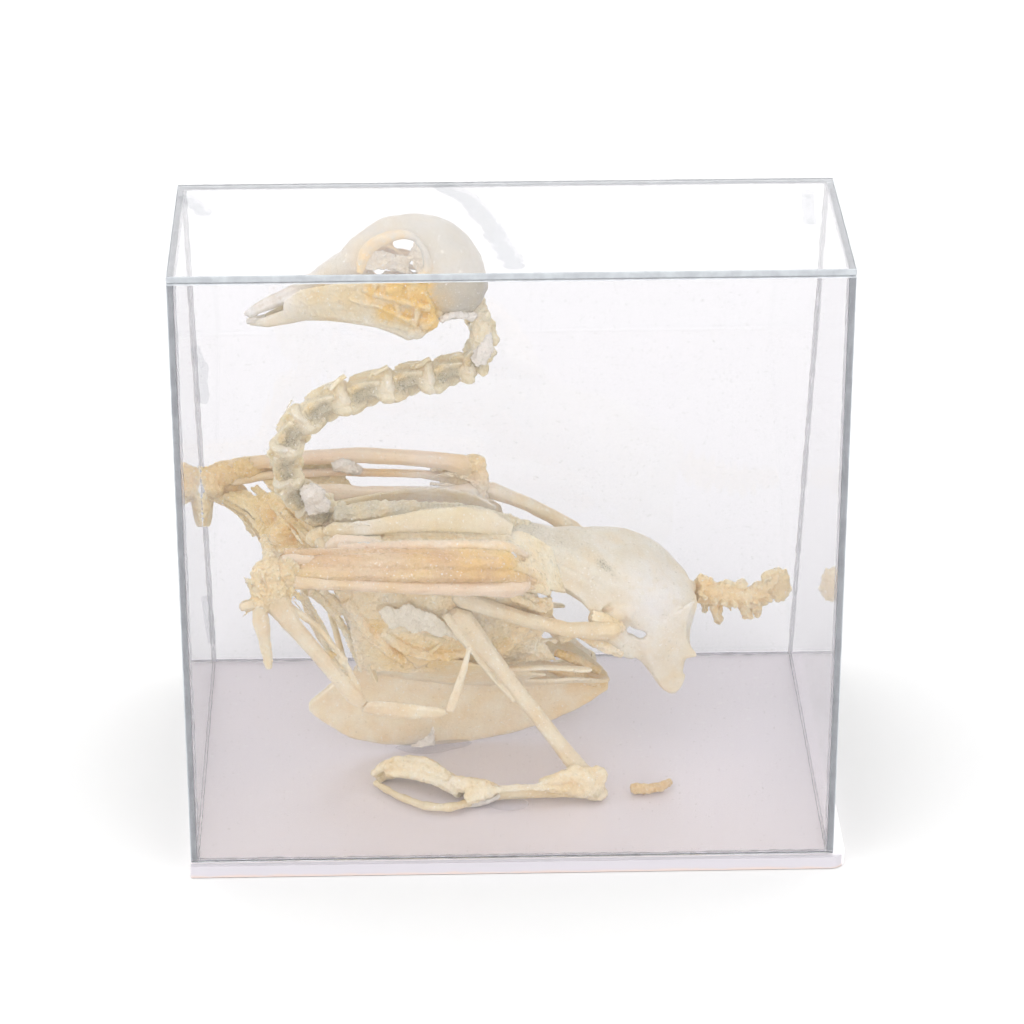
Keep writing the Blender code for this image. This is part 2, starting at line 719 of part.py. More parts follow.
def make_ribs():
    """Five ribs a side, each jointed to its breast rib, tied by their hooks."""
    bone = make_material("rib_bone", CREAM, 0.5)
    for name, side in (("ribs_left", 1), ("ribs_right", -1)):
        pieces = []
        for k in range(5):
            s = -12.6 + 7.0 * k
            z = 63.6 - 0.155 * (s + 20)
            reach = 14.6 + 0.1 * k
            back = 1.0 + 0.9 * k
            foot = -2.0 + 4.4 * k
            foot_z = 33.6 - 0.25 * k
            rib = [(s, 6.9 * side, z + .4, .8, .5), (s + 1.5, 11.2 * side, z - 2.6, .9, .5),
                   (s + 3 + back * .4, (reach - .8) * side, z - 9, .95, .5),
                   (s + 4.2 + back, reach * side, z - 16, .9, .5),
                   (s + 4.4 + back * 1.4, (reach - .4) * side, z - 21.5, .9, .5),
                   (foot + 3.6, (14.2 + .1 * k) * side, foot_z + 3.4, .75, .5),
                   (foot, (13.8 + .3 * k) * side, foot_z, .7, .5)]
            pieces.append(tube(rib, (1, 0, 0), 5))
            hook = [(s + 3.4 + back, (reach + .1) * side, z - 13.5, 1.1, .45),
                    (s + 7.6 + back, (reach + .45) * side, z - 12.2, .9, .45),
                    (s + 12.2 + back, (reach + .5) * side, z - 11.8, .6, .4)]
            if k < 4:
                pieces.append(tube(hook, (0, 0, 1), 4))
        finish(name, fuse(pieces), bird, bone)


# The shoulder

def make_shoulders():
    bone = make_material("shoulder_bone", CREAM, 0.5)
    for tag, side, lift in (("left", 1, 0.0), ("right", -1, -0.6)):
        coracoid = [(-28.0, 11.6, 65.0, 1.2, 1.0), (-26.4, 12.4, 63.6, 2.4, 1.8),
                    (-25.0, 12.6, 59.8, 2.2, 1.8), (-23.4, 11.8, 53.0, 1.5, 1.4),
                    (-20.8, 10.2, 44.5, 1.5, 1.4), (-18.4, 8.3, 36.0, 1.9, 1.2),
                    (-16.0, 6.8, 29.0, 3.6, 1.0), (-14.6, 6.0, 25.4, 4.6, .8)]
        rows = [(s, h * side, z + lift, a, b) for s, h, z, a, b in coracoid]
        finish("coracoid_" + tag, fuse([tube(rows, (0, 1, 0), 8)]), bird, bone)
        scapula = [(-26.0, 10.2, 66.6, .9, .9), (-24.0, 11.2, 67.0, 2.0, 1.1), (-19.0, 12.4, 67.5, 1.7, .8),
                   (-10.0, 13.0, 68.2, 2.2, .6), (-2.0, 12.9, 68.6, 2.8, .5), (6.0, 12.5, 67.9, 3.2, .45),
                   (13.0, 11.9, 66.0, 3.0, .45), (18.4, 11.3, 63.4, 1.6, .4)]
        sunk, share = (0.0, 1.0) if side > 0 else (-5.6, 0.8)     # the far one lies lower and turned
        rows = [(s, h * side, z + sunk, a * share, b) for s, h, z, a, b in scapula]
        finish("scapula_" + tag, fuse([tube(rows, (0, -.45 * side, .89), 8)]), bird, bone)
    wish = [(-27.4, 9.0, 61.0, 1.5, .6), (-31.4, 10.6, 52.0, .9, .6), (-29.4, 9.2, 42.0, .8, .6),
            (-25.0, 5.6, 32.0, .8, .6), (-21.4, 2.2, 25.4, .9, .7), (-20.4, 0, 23.4, 1.5, .8),
            (-20.8, -2.2, 25.4, .9, .7), (-22.0, -5.6, 32.0, .8, .6), (-24.4, -9.2, 42.0, .8, .6),
            (-27.4, -10.6, 52.0, .9, .6), (-27.0, -9.0, 61.0, 1.5, .6)]
    finish("furcula", fuse([tube(wish, (1, 0, .2), 6, 2)]), bird, bone)


# The wings

def make_wings():
    shaft = make_material("wing_bone", PINKISH, 0.5)
    tip = make_material("hand_bone", CREAM, 0.5)

    humerus = {
        "left": [(-26.4, 15.4, 64.6, 1.4, 1.0), (-24.2, 15.8, 64.8, 3.5, 1.8), (-18.4, 16.2, 64.2, 3.4, 1.5),
                 (-12.0, 16.9, 63.4, 2.2, 1.7), (-3.0, 18.0, 62.6, 1.9, 1.8), (6.0, 19.3, 61.8, 2.0, 1.7),
                 (12.0, 20.3, 61.2, 2.8, 1.8), (15.6, 20.9, 60.8, 3.3, 2.5), (17.3, 21.2, 60.6, 2.0, 1.5)],
        "right": [(-27.2, -14.6, 62.8, 1.4, 1.0), (-25.0, -14.9, 63.0, 3.4, 1.8),
                  (-19.0, -15.2, 62.6, 3.4, 1.5), (-12.5, -15.6, 62.2, 2.2, 1.7),
                  (-3.0, -16.2, 61.3, 2.0, 1.8), (6.0, -16.8, 60.1, 2.0, 1.7), (11.0, -17.1, 59.4, 2.8, 1.8),
                  (14.0, -17.3, 58.9, 3.2, 2.0), (15.4, -17.4, 58.7, 2.0, 1.3)]}
    ulna = {
        "left": [(-40.3, 30.8, 65.8, 1.5, 1.2), (-38.2, 30.7, 65.4, 2.3, 1.9), (-33.0, 30.0, 64.2, 1.8, 1.7),
                 (-22.0, 28.6, 61.8, 1.7, 1.65), (-10.0, 27.0, 59.0, 1.7, 1.65), (2.0, 25.5, 56.8, 1.8, 1.7),
                 (11.0, 24.3, 55.2, 2.0, 1.9), (15.5, 23.7, 54.8, 2.8, 2.2), (18.5, 23.2, 54.8, 2.4, 1.9),
                 (20.3, 23.0, 54.8, 1.2, 1.0)],
        "right": [(-44.6, -27.8, 66.6, 1.4, 1.2), (-42.2, -27.6, 67.0, 2.0, 1.8),
                  (-36.0, -26.3, 68.1, 1.7, 1.6), (-25.0, -24.3, 69.3, 1.85, 1.7),
                  (-13.0, -22.2, 69.8, 1.95, 1.75), (-1.0, -20.6, 68.9, 2.0, 1.8),
                  (8.0, -19.4, 67.6, 2.1, 1.9), (11.4, -18.9, 66.6, 2.7, 2.0),
                  (13.8, -18.7, 65.8, 2.3, 1.8), (15.0, -18.6, 65.4, 1.2, 1.0)]}
    radius = {
        "left": [(-38.4, 29.6, 70.2, .9, .8), (-36.2, 29.2, 69.8, 1.4, 1.1), (-30.0, 28.4, 68.4, 1.0, .95),
                 (-12.0, 26.4, 65.2, 1.0, .95), (4.0, 24.7, 62.6, 1.05, 1.0), (11.0, 24.4, 60.9, 1.4, 1.2),
                 (13.0, 24.4, 60.3, .9, .8)],
        "right": [(-43.4, -26.8, 63.0, .9, .8), (-41.0, -26.4, 63.9, 1.4, 1.1),
                  (-35.0, -25.2, 65.0, 1.0, .95), (-17.0, -23.0, 65.3, 1.0, .95),
                  (1.0, -20.9, 64.2, 1.05, 1.0), (10.0, -19.9, 62.6, 1.3, 1.1), (12.4, -19.8, 62.0, .9, .8)]}
    for tag in ("left", "right"):
        finish("humerus_" + tag, fuse([tube(humerus[tag], (0, 0, 1), 8)]), bird, shaft)
        finish("ulna_" + tag, fuse([tube(ulna[tag], (0, 0, 1), 8)]), bird, shaft)
        finish("radius_" + tag, fuse([tube(radius[tag], (0, 0, 1), 6)]), bird, shaft)

    # The hand of each wing is one shape, set at its wrist and its palm
    hands = {
        # side, wrist, palm, reach of the wrist's stub
        "left": (1, (-42.0, 31.6, 62.4), (-41.4, 31.6, 62.4), -6.7),
        "right": (-1, (-46.0, -28.2, 60.7), (-43.8, -28.2, 61.0), -2.9)}
    thumbs = {
        # along, drop, half width, half thickness
        "left": [(-2.6, -1.6, 1.4, 1.0), (-2.3, -5.6, 2.0, 1.1), (-1.6, -11.2, 1.35, .8),
                 (-.9, -16.6, 1.2, .7), (-.7, -18.2, .7, .5)],
        "right": [(-2.7, -1.0, 1.1, 1.0), (-2.9, -3.2, 1.2, 1.0), (-3.1, -6.0, 1.0, .8), (-3.3, -9.0, .8, .6),
                  (-3.4, -10.4, .5, .4)]}
    for tag, (side, wrist, palm, stub) in hands.items():
        def at(ds, dh, dz):
            return (wrist[0] + ds, wrist[1] + dh * side, wrist[2] + dz)

        def on(ds, dh, dz):
            return (palm[0] + ds, palm[1] + dh * side, palm[2] + dz)

        carpal = [lump(at(-.6, -.4, 4.3), (2.6, 2.0, 2.4)), lump(at(-2.4, .2, 1.8), (1.9, 1.6, 2.0), fine=1),
                  spike(at(-1.6, .2, 1.0), at(-2.4, .4, -2.0), 1.7, 1.4, 5),
                  spike(at(-1.6, .4, -1.6), at(stub, .8, -2.1), 1.7, 1.0, 5)]
        finish("wrist_" + tag, fuse(carpal), bird, tip)
        major = [(*on(-.6, .4, 1.5), 2.2, 1.6), (*on(1.2, .4, -2.0), 3.1, 1.9), (*on(4.4, .4, -8.0), 2.1, 1.6),
                 (*on(9.4, 0, -15.4), 1.8, 1.5), (*on(14.8, -.4, -23.4), 1.75, 1.45),
                 (*on(18.8, -.6, -29.2), 2.1, 1.5), (*on(20.6, -.6, -31.2), 1.3, 1.0)]
        minor = [(*on(3.8, -.2, -3.4), .9, .7), (*on(10.4, -.8, -9.8), .7, .55),
                 (*on(15.8, -1.2, -18.0), .65, .55), (*on(19.2, -1.0, -26.2), .8, .6),
                 (*on(19.8, -.8, -29.6), 1.0, .7)]
        boss = lump(on(16.4, -1.2, -19.6), (1.2, .9, 1.3), fine=1)
        hand = fuse([tube(major, (1, 0, .4), 8), tube(minor, (1, 0, .4), 6), boss])
        finish("carpometacarpus_" + tag, hand, bird, tip)
        thumb = [(*at(ds, 1.6, dz), a, b) for ds, dz, a, b in thumbs[tag]]
        finish("alula_" + tag, fuse([tube(thumb, (1, 0, 0), 6)]), bird, tip)
        first = [(*on(20.8, -.7, -32.0), 1.5, 1.1), (*on(25.0, -.8, -33.2), 2.2, .6),
                 (*on(31.6, -.9, -34.6), 2.2, .55), (*on(38.0, -1.0, -35.6), 1.5, .8),
                 (*on(40.0, -1.0, -35.9), 1.0, .7)]
        finish("wing_finger_" + tag, fuse([tube(first, (0, 0, 1), 6)]), bird, tip)
        last = [(*on(41.4, -1.1, -35.4), 1.0, .7), (*on(42.6, -1.5, -32.6), 1.2, .7),
                (*on(44.8, -2.4, -26.4), .85, .55), (*on(46.5, -3.4, -20.4), .5, .4)]
        finish("wing_tip_" + tag, fuse([tube(last, (1, 0, 0), 6)]), bird, tip)


# The legs

def make_legs():
    bone = make_material("leg_bone", CREAM, 0.5)
    femur = {
        "left": [(3.4, 18.2, 51.3, 1.6, 1.4), (5.6, 18.2, 50.3, 3.0, 2.5), (10.0, 18.5, 47.7, 2.0, 2.0),
                 (20.0, 18.2, 42.8, 1.75, 1.75), (31.0, 16.8, 38.2, 1.8, 1.8), (38.0, 15.2, 36.4, 2.3, 2.1),
                 (42.2, 15.0, 36.0, 2.3, 2.0), (44.0, 15.0, 35.9, 1.0, .9)],
        "right": [(17.0, -19.4, 59.6, 1.4, 1.3), (19.0, -19.2, 58.9, 2.1, 2.1), (22.6, -18.2, 57.5, 1.8, 1.8),
                  (27.0, -16.6, 55.9, 1.7, 1.7), (33.0, -15.0, 52.7, 1.75, 1.75), (38.0, -14.4, 49.2, 2.0, 2.0),
                  (41.8, -14.2, 45.2, 2.2, 2.0), (43.0, -14.0, 43.6, 1.0, .9)]}
    tibia = {
        "left": [(2.8, 19.0, 46.7, 1.8, 1.6), (4.6, 19.2, 44.7, 3.3, 2.4), (8.2, 20.0, 39.8, 2.5, 1.9),
                 (13.0, 21.8, 33.1, 1.9, 1.7), (19.0, 24.6, 24.6, 1.8, 1.6), (26.0, 28.2, 14.8, 1.8, 1.6),
                 (31.4, 31.0, 7.4, 2.2, 2.2), (33.2, 31.9, 5.2, 2.6, 2.8), (34.6, 32.6, 3.6, 1.3, 1.5)],
        "right": [(17.0, -20.8, 55.2, 1.6, 1.5), (18.8, -21.0, 52.6, 3.0, 2.2), (21.4, -21.3, 45.6, 2.3, 1.8),
                  (25.0, -21.9, 36.0, 1.8, 1.6), (30.4, -23.1, 24.6, 1.7, 1.6), (37.0, -25.4, 14.4, 1.8, 1.6),
                  (42.4, -28.2, 7.0, 2.2, 2.1), (44.0, -29.0, 4.9, 2.5, 2.6), (45.2, -29.6, 3.4, 1.3, 1.4)]}
    fibula = {
        "left": [(0.9, 20.6, 47.2, 1.1, .7), (3.0, 21.0, 43.0, .8, .6), (7.4, 21.5, 36.3, .6, .5),
                 (12.4, 22.9, 29.4, .55, .5), (16.6, 24.6, 24.6, .5, .45)],
        "right": [(16.0, -22.4, 54.2, 1.0, .7), (17.6, -22.8, 50.0, .8, .6), (20.2, -23.0, 42.6, .6, .5),
                  (23.0, -23.2, 36.0, .55, .5), (26.6, -23.4, 29.4, .5, .45)]}
    heads = {"left": (42.0, 12.4, 36.5), "right": (42.2, -12.2, 42.4)}
    for tag in ("left", "right"):
        side = 1 if tag == "left" else -1
        ball = lump(heads[tag], (2.0, 2.2, 2.0))
        finish("femur_" + tag, fuse([tube(femur[tag], (0, 0, 1), 8), ball]), bird, bone)
        crest = lump((tibia[tag][1][0] - 1.6, tibia[tag][1][1] - 1.0 * side, tibia[tag][1][2] - .6),
                     (1.5, 1.0, 3.0), tilt=-20)
        leg = fuse([tube(tibia[tag], (1, 0, .3), 8), tube(fibula[tag], (1, 0, 0), 6), crest])
        finish("tibiotarsus_" + tag, leg, bird, bone)

    # Each foot is one shape laid on the base from its ankle, toes closing to a loop
    feet = (("left", (34.6, 33.0), 1), ("right", (45.4, -29.8), -1))
    for tag, ankle, side in feet:
        def at(ds, dh, z):
            return (ankle[0] + ds, ankle[1] + dh * side, z)
        tarsus = [(*at(1.7, .3, 3.3), 1.6, 1.5), (*at(.4, .2, 3.5), 2.9, 3.0), (*at(-3.0, -.5, 3.3), 2.1, 2.3),
                  (*at(-9.0, -1.6, 2.8), 1.55, 1.7), (*at(-18.0, -3.2, 2.4), 1.45, 1.6),
                  (*at(-25.0, -4.4, 2.2), 1.6, 2.0), (*at(-28.6, -5.0, 2.3), 1.9, 3.4),
                  (*at(-30.2, -5.2, 2.2), 1.2, 2.4)]
        finish("tarsometatarsus_" + tag, fuse([tube(tarsus, (0, 0, 1), 8)]), bird, bone)
        toes = {
            "inner": [(-29.8, -8.2, 2.1), (-33.2, -13.4, 2.4), (-37.6, -18.6, 2.1), (-42.0, -20.8, 1.9),
                      (-46.2, -20.0, 1.6), (-50.0, -18.6, 1.1)],
            "middle": [(-31.6, -6.0, 2.1), (-35.2, -9.6, 2.4), (-39.2, -14.8, 2.1), (-43.0, -17.2, 1.9),
                       (-46.6, -18.0, 1.6), (-49.6, -17.2, 1.1)],
            "outer": [(-30.4, -1.6, 2.0), (-35.0, .2, 2.1), (-40.4, -1.8, 1.9), (-45.2, -6.4, 1.7),
                      (-48.8, -12.0, 1.5), (-50.6, -16.0, 1.1)]}
        for toe, way in toes.items():
            rows = []
            for k, (ds, dh, z) in enumerate(curve_through(way, 3)):
                girth = (1.35, 1.05, 1.0)[k % 3] * (1 - 0.028 * k)
                rows.append((*at(ds, dh, z), girth, girth))
            finish("toe_" + toe + "_" + tag, fuse([loft(rows, (0, 0, 1), 6)]), bird, bone)
    spur = [(16.0, -24.4, 1.8, 1.1, 1.0), (19.4, -21.6, 1.4, .8, .8), (23.0, -20.4, 1.3, .9, .9),
            (26.0, -19.6, .9, .45, .45)]
    finish("toe_hind_right", fuse([tube(spur, (0, 0, 1), 6)]), bird, bone)
    loose = [(43.7, 31.8, 1.9, 1.0, .9), (44.9, 32.3, 1.85, 1.5, 1.3), (47.8, 33.0, 1.8, 1.3, 1.1),
             (51.0, 32.6, 2.0, 1.3, 1.1), (53.4, 31.6, 2.4, 1.0, .9)]
    finish("toe_hind_loose", fuse([tube(loose, (0, 0, 1), 6)]), bird, make_material("loose_bone", OCHRE, 0.6))


# The glue

def puddle(points, height):
    """A low flat drop of glue on the base, round at its rim."""
    mesh = bmesh.new()
    middle = sum((Vector(p) for p in points), Vector((0, 0))) / len(points)
    rings = []
    for share, z in ((1.0, CLEAR_FLOOR), (0.86, height * .8), (0.5, height)):
        ring = []
        for s, h in curve_through(points + points[:1], 2)[:-1]:
            at = middle + (Vector((s, h)) - middle) * share
            ring.append(mesh.verts.new(on_bird(at.x, at.y, z)))
        rings.append(ring)
    count = len(rings[0])
    for low, high in zip(rings, rings[1:]):
        for k in range(count):
            n = (k + 1) % count
            mesh.faces.new((low[k], low[n], high[n], high[k]))
    mesh.faces.new(rings[0])
    mesh.faces.new(rings[-1])
    bmesh.ops.triangulate(mesh, faces=mesh.faces)
    bmesh.ops.recalc_face_normals(mesh, faces=mesh.faces)
    return mesh


def make_glue():
    glue = make_material("glue", (0.86, 0.88, 0.90), 0.2, 0.6)
    keel_spot = [(-9.0, 0.0), (-6.0, 3.0), (-1.0, 4.6), (5.0, 3.8), (10.5, 1.4), (8.0, -2.6), (0.0, -3.6)]
    finish("glue_keel", fuse([puddle(keel_spot, 2.0)]), bird, glue)
    foot_spot = [(8.5, 31.0), (11.0, 34.0), (15.0, 34.8), (18.4, 33.4), (18.0, 31.0), (12.0, 29.6)]
    finish("glue_foot", fuse([puddle(foot_spot, 1.6)]), bird, glue)
    finish("glue_neck", fuse([lump((-27.2, 3.4, 70.4), (2.9, 2.2, 2.9))]), bird, glue)


make_case()
make_skull()
make_mandible()
make_neck()
make_back()
make_tail()
make_pelvis()
make_sternum()
make_ribs()
make_shoulders()
make_wings()
make_legs()
make_glue()

# Where two bones share a joint the second is cut back from the first
trim("mandible", "skull")
trim("neck_upper", "skull", "mandible")
trim("neck_middle", "neck_upper")
trim("neck_lower", "neck_middle")
trim("back", "neck_lower")
trim("pelvis", "back")
trim("tail", "pelvis")
trim("pygostyle", "tail")
trim("glue_neck", "neck_lower", "back")
trim("glue_keel", "sternum")
for tag in ("left", "right"):
    trim("ribs_" + tag, "back", "pelvis", "sternum")
    trim("coracoid_" + tag, "sternum", "ribs_" + tag)
trim("coracoid_right", "coracoid_left")
trim("furcula", "sternum", "coracoid_left", "coracoid_right")
for tag in ("left", "right"):
    trim("scapula_" + tag, "coracoid_" + tag, "ribs_" + tag, "back", "furcula")
    trim("humerus_" + tag, "coracoid_" + tag, "scapula_" + tag, "ribs_" + tag)
    trim("ulna_" + tag, "humerus_" + tag)
    trim("radius_" + tag, "humerus_" + tag, "ulna_" + tag)
    trim("wrist_" + tag, "ulna_" + tag, "radius_" + tag)
    trim("carpometacarpus_" + tag, "wrist_" + tag, "ulna_" + tag, "radius_" + tag)
    trim("alula_" + tag, "carpometacarpus_" + tag, "wrist_" + tag)
    trim("wing_finger_" + tag, "carpometacarpus_" + tag)
    trim("wing_tip_" + tag, "wing_finger_" + tag)
    trim("femur_" + tag, "pelvis", "humerus_" + tag)
    trim("tibiotarsus_" + tag, "femur_" + tag)
    trim("tarsometatarsus_" + tag, "tibiotarsus_" + tag)
    trim("toe_middle_" + tag, "tarsometatarsus_" + tag)
    trim("toe_inner_" + tag, "tarsometatarsus_" + tag, "toe_middle_" + tag)
    trim("toe_outer_" + tag, "tarsometatarsus_" + tag, "toe_middle_" + tag, "toe_inner_" + tag)
trim("toe_hind_right", "tarsometatarsus_right")
trim("glue_foot", "tarsometatarsus_left", "toe_outer_left")
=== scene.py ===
import json
import random
from math import cos, radians, sin

import bpy
import numpy as np
from mathutils import Matrix, Vector

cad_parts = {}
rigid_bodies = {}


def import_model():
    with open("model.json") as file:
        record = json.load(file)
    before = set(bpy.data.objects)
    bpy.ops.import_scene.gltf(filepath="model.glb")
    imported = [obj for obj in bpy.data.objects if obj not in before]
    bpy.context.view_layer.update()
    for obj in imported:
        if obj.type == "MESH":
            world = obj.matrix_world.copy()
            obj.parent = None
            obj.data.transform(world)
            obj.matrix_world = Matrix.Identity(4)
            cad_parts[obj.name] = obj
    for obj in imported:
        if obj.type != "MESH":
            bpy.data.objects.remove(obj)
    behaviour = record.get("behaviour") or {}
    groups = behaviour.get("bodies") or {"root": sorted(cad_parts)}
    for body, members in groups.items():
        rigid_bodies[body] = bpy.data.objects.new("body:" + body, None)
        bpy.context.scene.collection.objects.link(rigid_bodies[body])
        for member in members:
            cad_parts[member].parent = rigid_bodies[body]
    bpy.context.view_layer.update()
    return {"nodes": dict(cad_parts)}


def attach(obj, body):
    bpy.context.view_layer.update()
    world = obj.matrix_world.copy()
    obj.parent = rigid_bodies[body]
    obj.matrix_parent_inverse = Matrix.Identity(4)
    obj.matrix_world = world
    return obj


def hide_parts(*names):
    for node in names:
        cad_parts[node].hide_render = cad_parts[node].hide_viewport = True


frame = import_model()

mm = 0.001
keptShare = 0.7                 # of the triangles of a grown piece
scene = bpy.context.scene
scene.view_settings.view_transform = "Standard"


# The camera stands where the photograph was taken from
camera = {
    "place": (-0.0222, -0.8467, 0.4935), "yaw": 1.49, "pitch": 26.64, "roll": 0.07, "focalPixels": 3995,
    "imageWide": 1024, "sensor": 36.0}

yaw, pitch, roll = (radians(camera[key]) for key in ("yaw", "pitch", "roll"))
ahead = Vector((sin(yaw) * cos(pitch), cos(yaw) * cos(pitch), -sin(pitch)))
across = Vector((cos(yaw), -sin(yaw), 0))
down = ahead.cross(across)
right = across * cos(roll) + down * sin(roll)
up = across * sin(roll) - down * cos(roll)
cam = bpy.data.objects.new("camera", bpy.data.cameras.new("camera"))
cam.matrix_world = Matrix((
    (right.x, up.x, -ahead.x, camera["place"][0]),
    (right.y, up.y, -ahead.y, camera["place"][1]),
    (right.z, up.z, -ahead.z, camera["place"][2]),
    (0, 0, 0, 1)))
cam.data.sensor_width = camera["sensor"]
cam.data.lens = camera["focalPixels"] / camera["imageWide"] * camera["sensor"]
cam.data.clip_start = 0.01
scene.collection.objects.link(cam)
scene.camera = cam
print("camera set")


# Places. The bird's own frame: s back along its spine, h to its left, z up from the base's top.
# Small things are placed by the pixel where the photograph shows them, x and y, and their own h.
bird = {"yaw": radians(9.0), "x": -20.3, "y": 4.0, "z": 3.0}
head = {"x": -5.8, "y": -7.5, "z": 136.0}
inside = {"left": -74.85, "right": 71.6, "floor": 3.35}         # the case's inner walls
# pixels by which a clear wall shifts what lies behind it, and the row where the top one ends
bend = {"front": -1.3, "top": 4.6, "row": 274}


def onBird(s, h, z):
    turn = bird["yaw"]
    x = bird["x"] + s * cos(turn) + h * sin(turn)
    y = bird["y"] + s * sin(turn) - h * cos(turn)
    return Vector((x, y, z + bird["z"])) * mm


def seenOn(x, y, start, facing):
    eye = Vector(camera["place"])
    half = camera["imageWide"] / 2
    ray = ahead + right * ((x - half) / camera["focalPixels"]) - up * ((y - half) / camera["focalPixels"])
    return eye + ray * ((start - eye).dot(facing) / ray.dot(facing))


def birdSpot(x, y, h):
    facing = (onBird(0, 1, 0) - onBird(0, 0, 0)).normalized()
    return seenOn(x, y + bend["front"], onBird(0, h, 0), facing)


def shiftAt(y):
    return bend["top"] if y < bend["row"] else bend["front"]


def headSpot(x, y, w):
    start = Vector((head["x"], head["y"] - w, head["z"])) * mm
    return seenOn(x, y + shiftAt(y), start, Vector((0, -1, 0)))


def insideCase(place, radius):
    place = place.copy()
    place.x = min(max(place.x, (inside["left"] + radius) * mm), (inside["right"] - radius) * mm)
    place.z = max(place.z, (inside["floor"] + radius) * mm)
    return place


# Helpers for modelling
def pick(*objs):
    bpy.ops.object.select_all(action="DESELECT")
    for obj in objs:
        obj.select_set(True)
    bpy.context.view_layer.objects.active = objs[0]


def applyAll(obj):
    pick(obj)
    for modifier in list(obj.modifiers):
        bpy.ops.object.modifier_apply(modifier=modifier.name)


def joinAll(parts, name):
    pick(*parts)
    if len(parts) > 1:
        bpy.ops.object.join()
    piece = bpy.context.active_object
    piece.name = name
    piece.data.name = name
    return piece


def copySolid(node):
    source = frame["nodes"][node]
    piece = source.copy()
    piece.data = source.data.copy()
    piece.parent = None
    piece.hide_render = False
    for key in list(piece.keys()):
        del piece[key]
    scene.collection.objects.link(piece)
    pick(piece)
    bpy.ops.object.mode_set(mode="EDIT")
    bpy.ops.mesh.select_all(action="SELECT")
    bpy.ops.mesh.remove_doubles(threshold=0.000002)
    bpy.ops.object.mode_set(mode="OBJECT")
    return piece


def cloudTexture(name, size, depth=2, hard=False):
    texture = bpy.data.textures.new(name, "CLOUDS")
    texture.noise_scale = size * mm
    texture.noise_depth = depth
    texture.noise_type = "HARD_NOISE" if hard else "SOFT_NOISE"
    return texture


swells = cloudTexture("swells", 3.4)
ripples = cloudTexture("ripples", 1.1, 3)
wrinkles = cloudTexture("wrinkles", 0.8, 3, True)


def addDisplace(obj, texture, strength):
    move = obj.modifiers.new("move", "DISPLACE")
    move.mid_level = 0.0
    if texture:
        move.texture = texture
        move.texture_coords = "LOCAL"
        move.mid_level = 0.5
    move.strength = strength * mm


def addSmooth(obj, times, group=""):
    soften = obj.modifiers.new("soften", "SMOOTH")
    soften.factor = 0.5
    soften.iterations = times
    soften.vertex_group = group


def addRemesh(obj, voxel):
    remesh = obj.modifiers.new("remesh", "REMESH")
    remesh.mode = "VOXEL"
    remesh.voxel_size = voxel * mm


def addThinning(obj):
    # leaves out the triangles that the form does not need
    thinning = obj.modifiers.new("thinning", "DECIMATE")
    thinning.ratio = keptShare


def flow(points, steps=4):
    # a smooth line of points through the given ones; each is a tuple of equal length
    rows = [np.array(point, float) for point in points]
    if len(rows) < 3:
        return [rows[0] + (rows[-1] - rows[0]) * k / steps for k in range(steps + 1)]
    rows = [2 * rows[0] - rows[1]] + rows + [2 * rows[-1] - rows[-2]]
    line = []
    for a, b, c, d in zip(rows, rows[1:], rows[2:], rows[3:]):
        for k in range(steps):
            t = k / steps
            line.append(0.5 * (2 * b + (c - a) * t + (2 * a - 5 * b + 4 * c - d) * t * t
                               + (3 * b - a - 3 * c + d) * t ** 3))
    line.append(rows[-2])
    return line


def makeStrands(paths):
    # each path is a list of (place, radius in mm)
    curve = bpy.data.curves.new("strands", "CURVE")
    curve.dimensions = "3D"
    curve.bevel_depth = mm
    curve.bevel_resolution = 2
    curve.use_fill_caps = True
    for path in paths:
        line = flow([(*place, radius) for place, radius in path])
        spline = curve.splines.new("POLY")
        spline.points.add(len(line) - 1)
        for point, row in zip(spline.points, line):
            point.co = (row[0], row[1], row[2], 1)
            point.radius = max(row[3], 0.08)
    strands = bpy.data.objects.new("strands", curve)
    scene.collection.objects.link(strands)
    pick(strands)
    bpy.ops.object.convert(target="MESH")
    return bpy.context.active_object


def makeSheet(rails, thick, steps=6):
    # a skin stretched over two or more lines of places
    lines = [flow(rail, steps) for rail in rails]
    columns = [flow(list(column), steps) for column in zip(*lines)]
    tall = len(columns[0])
    places = [tuple(place) for column in columns for place in column]
    faces = [(i * tall + j, i * tall + j + 1, (i + 1) * tall + j + 1, (i + 1) * tall + j)
             for i in range(len(columns) - 1) for j in range(tall - 1)]
    mesh = bpy.data.meshes.new("sheet")
    mesh.from_pydata(places, [], faces)
    sheet = bpy.data.objects.new("sheet", mesh)
    scene.collection.objects.link(sheet)
    wall = sheet.modifiers.new("wall", "SOLIDIFY")
    wall.thickness = thick * mm
    wall.offset = 0.0
    applyAll(sheet)
    return sheet


def makeBlob(place, radii):
    bpy.ops.object.select_all(action="DESELECT")
    bpy.ops.mesh.primitive_ico_sphere_add(subdivisions=3, radius=1.0, location=place,
                                          rotation=(0, 0, bird["yaw"]))
    blob = bpy.context.active_object
    blob.scale = Vector(radii) * mm
    bpy.ops.object.transform_apply(location=True, rotation=True, scale=True)
    return blob


def makeFibres(railA, railB, count, radius, seed):
    # thin strands laid side by side from one line to the other
    rng = random.Random(seed)
    lineA, lineB = flow(railA, 3), flow(railB, 3)
    paths = []
    for k in range(count):
        t = min(max((k + 0.5) / count + rng.uniform(-0.4, 0.4) / count, 0), 1)
        sway = [rng.uniform(-0.35, 0.35) * mm for axis in range(3)]
        thin = radius * rng.uniform(0.6, 1.3)
        paths.append([(Vector(a + (b - a) * t + np.array(sway)), thin * rng.uniform(0.75, 1.25))
                      for a, b in zip(lineA, lineB)])
    return makeStrands(paths)


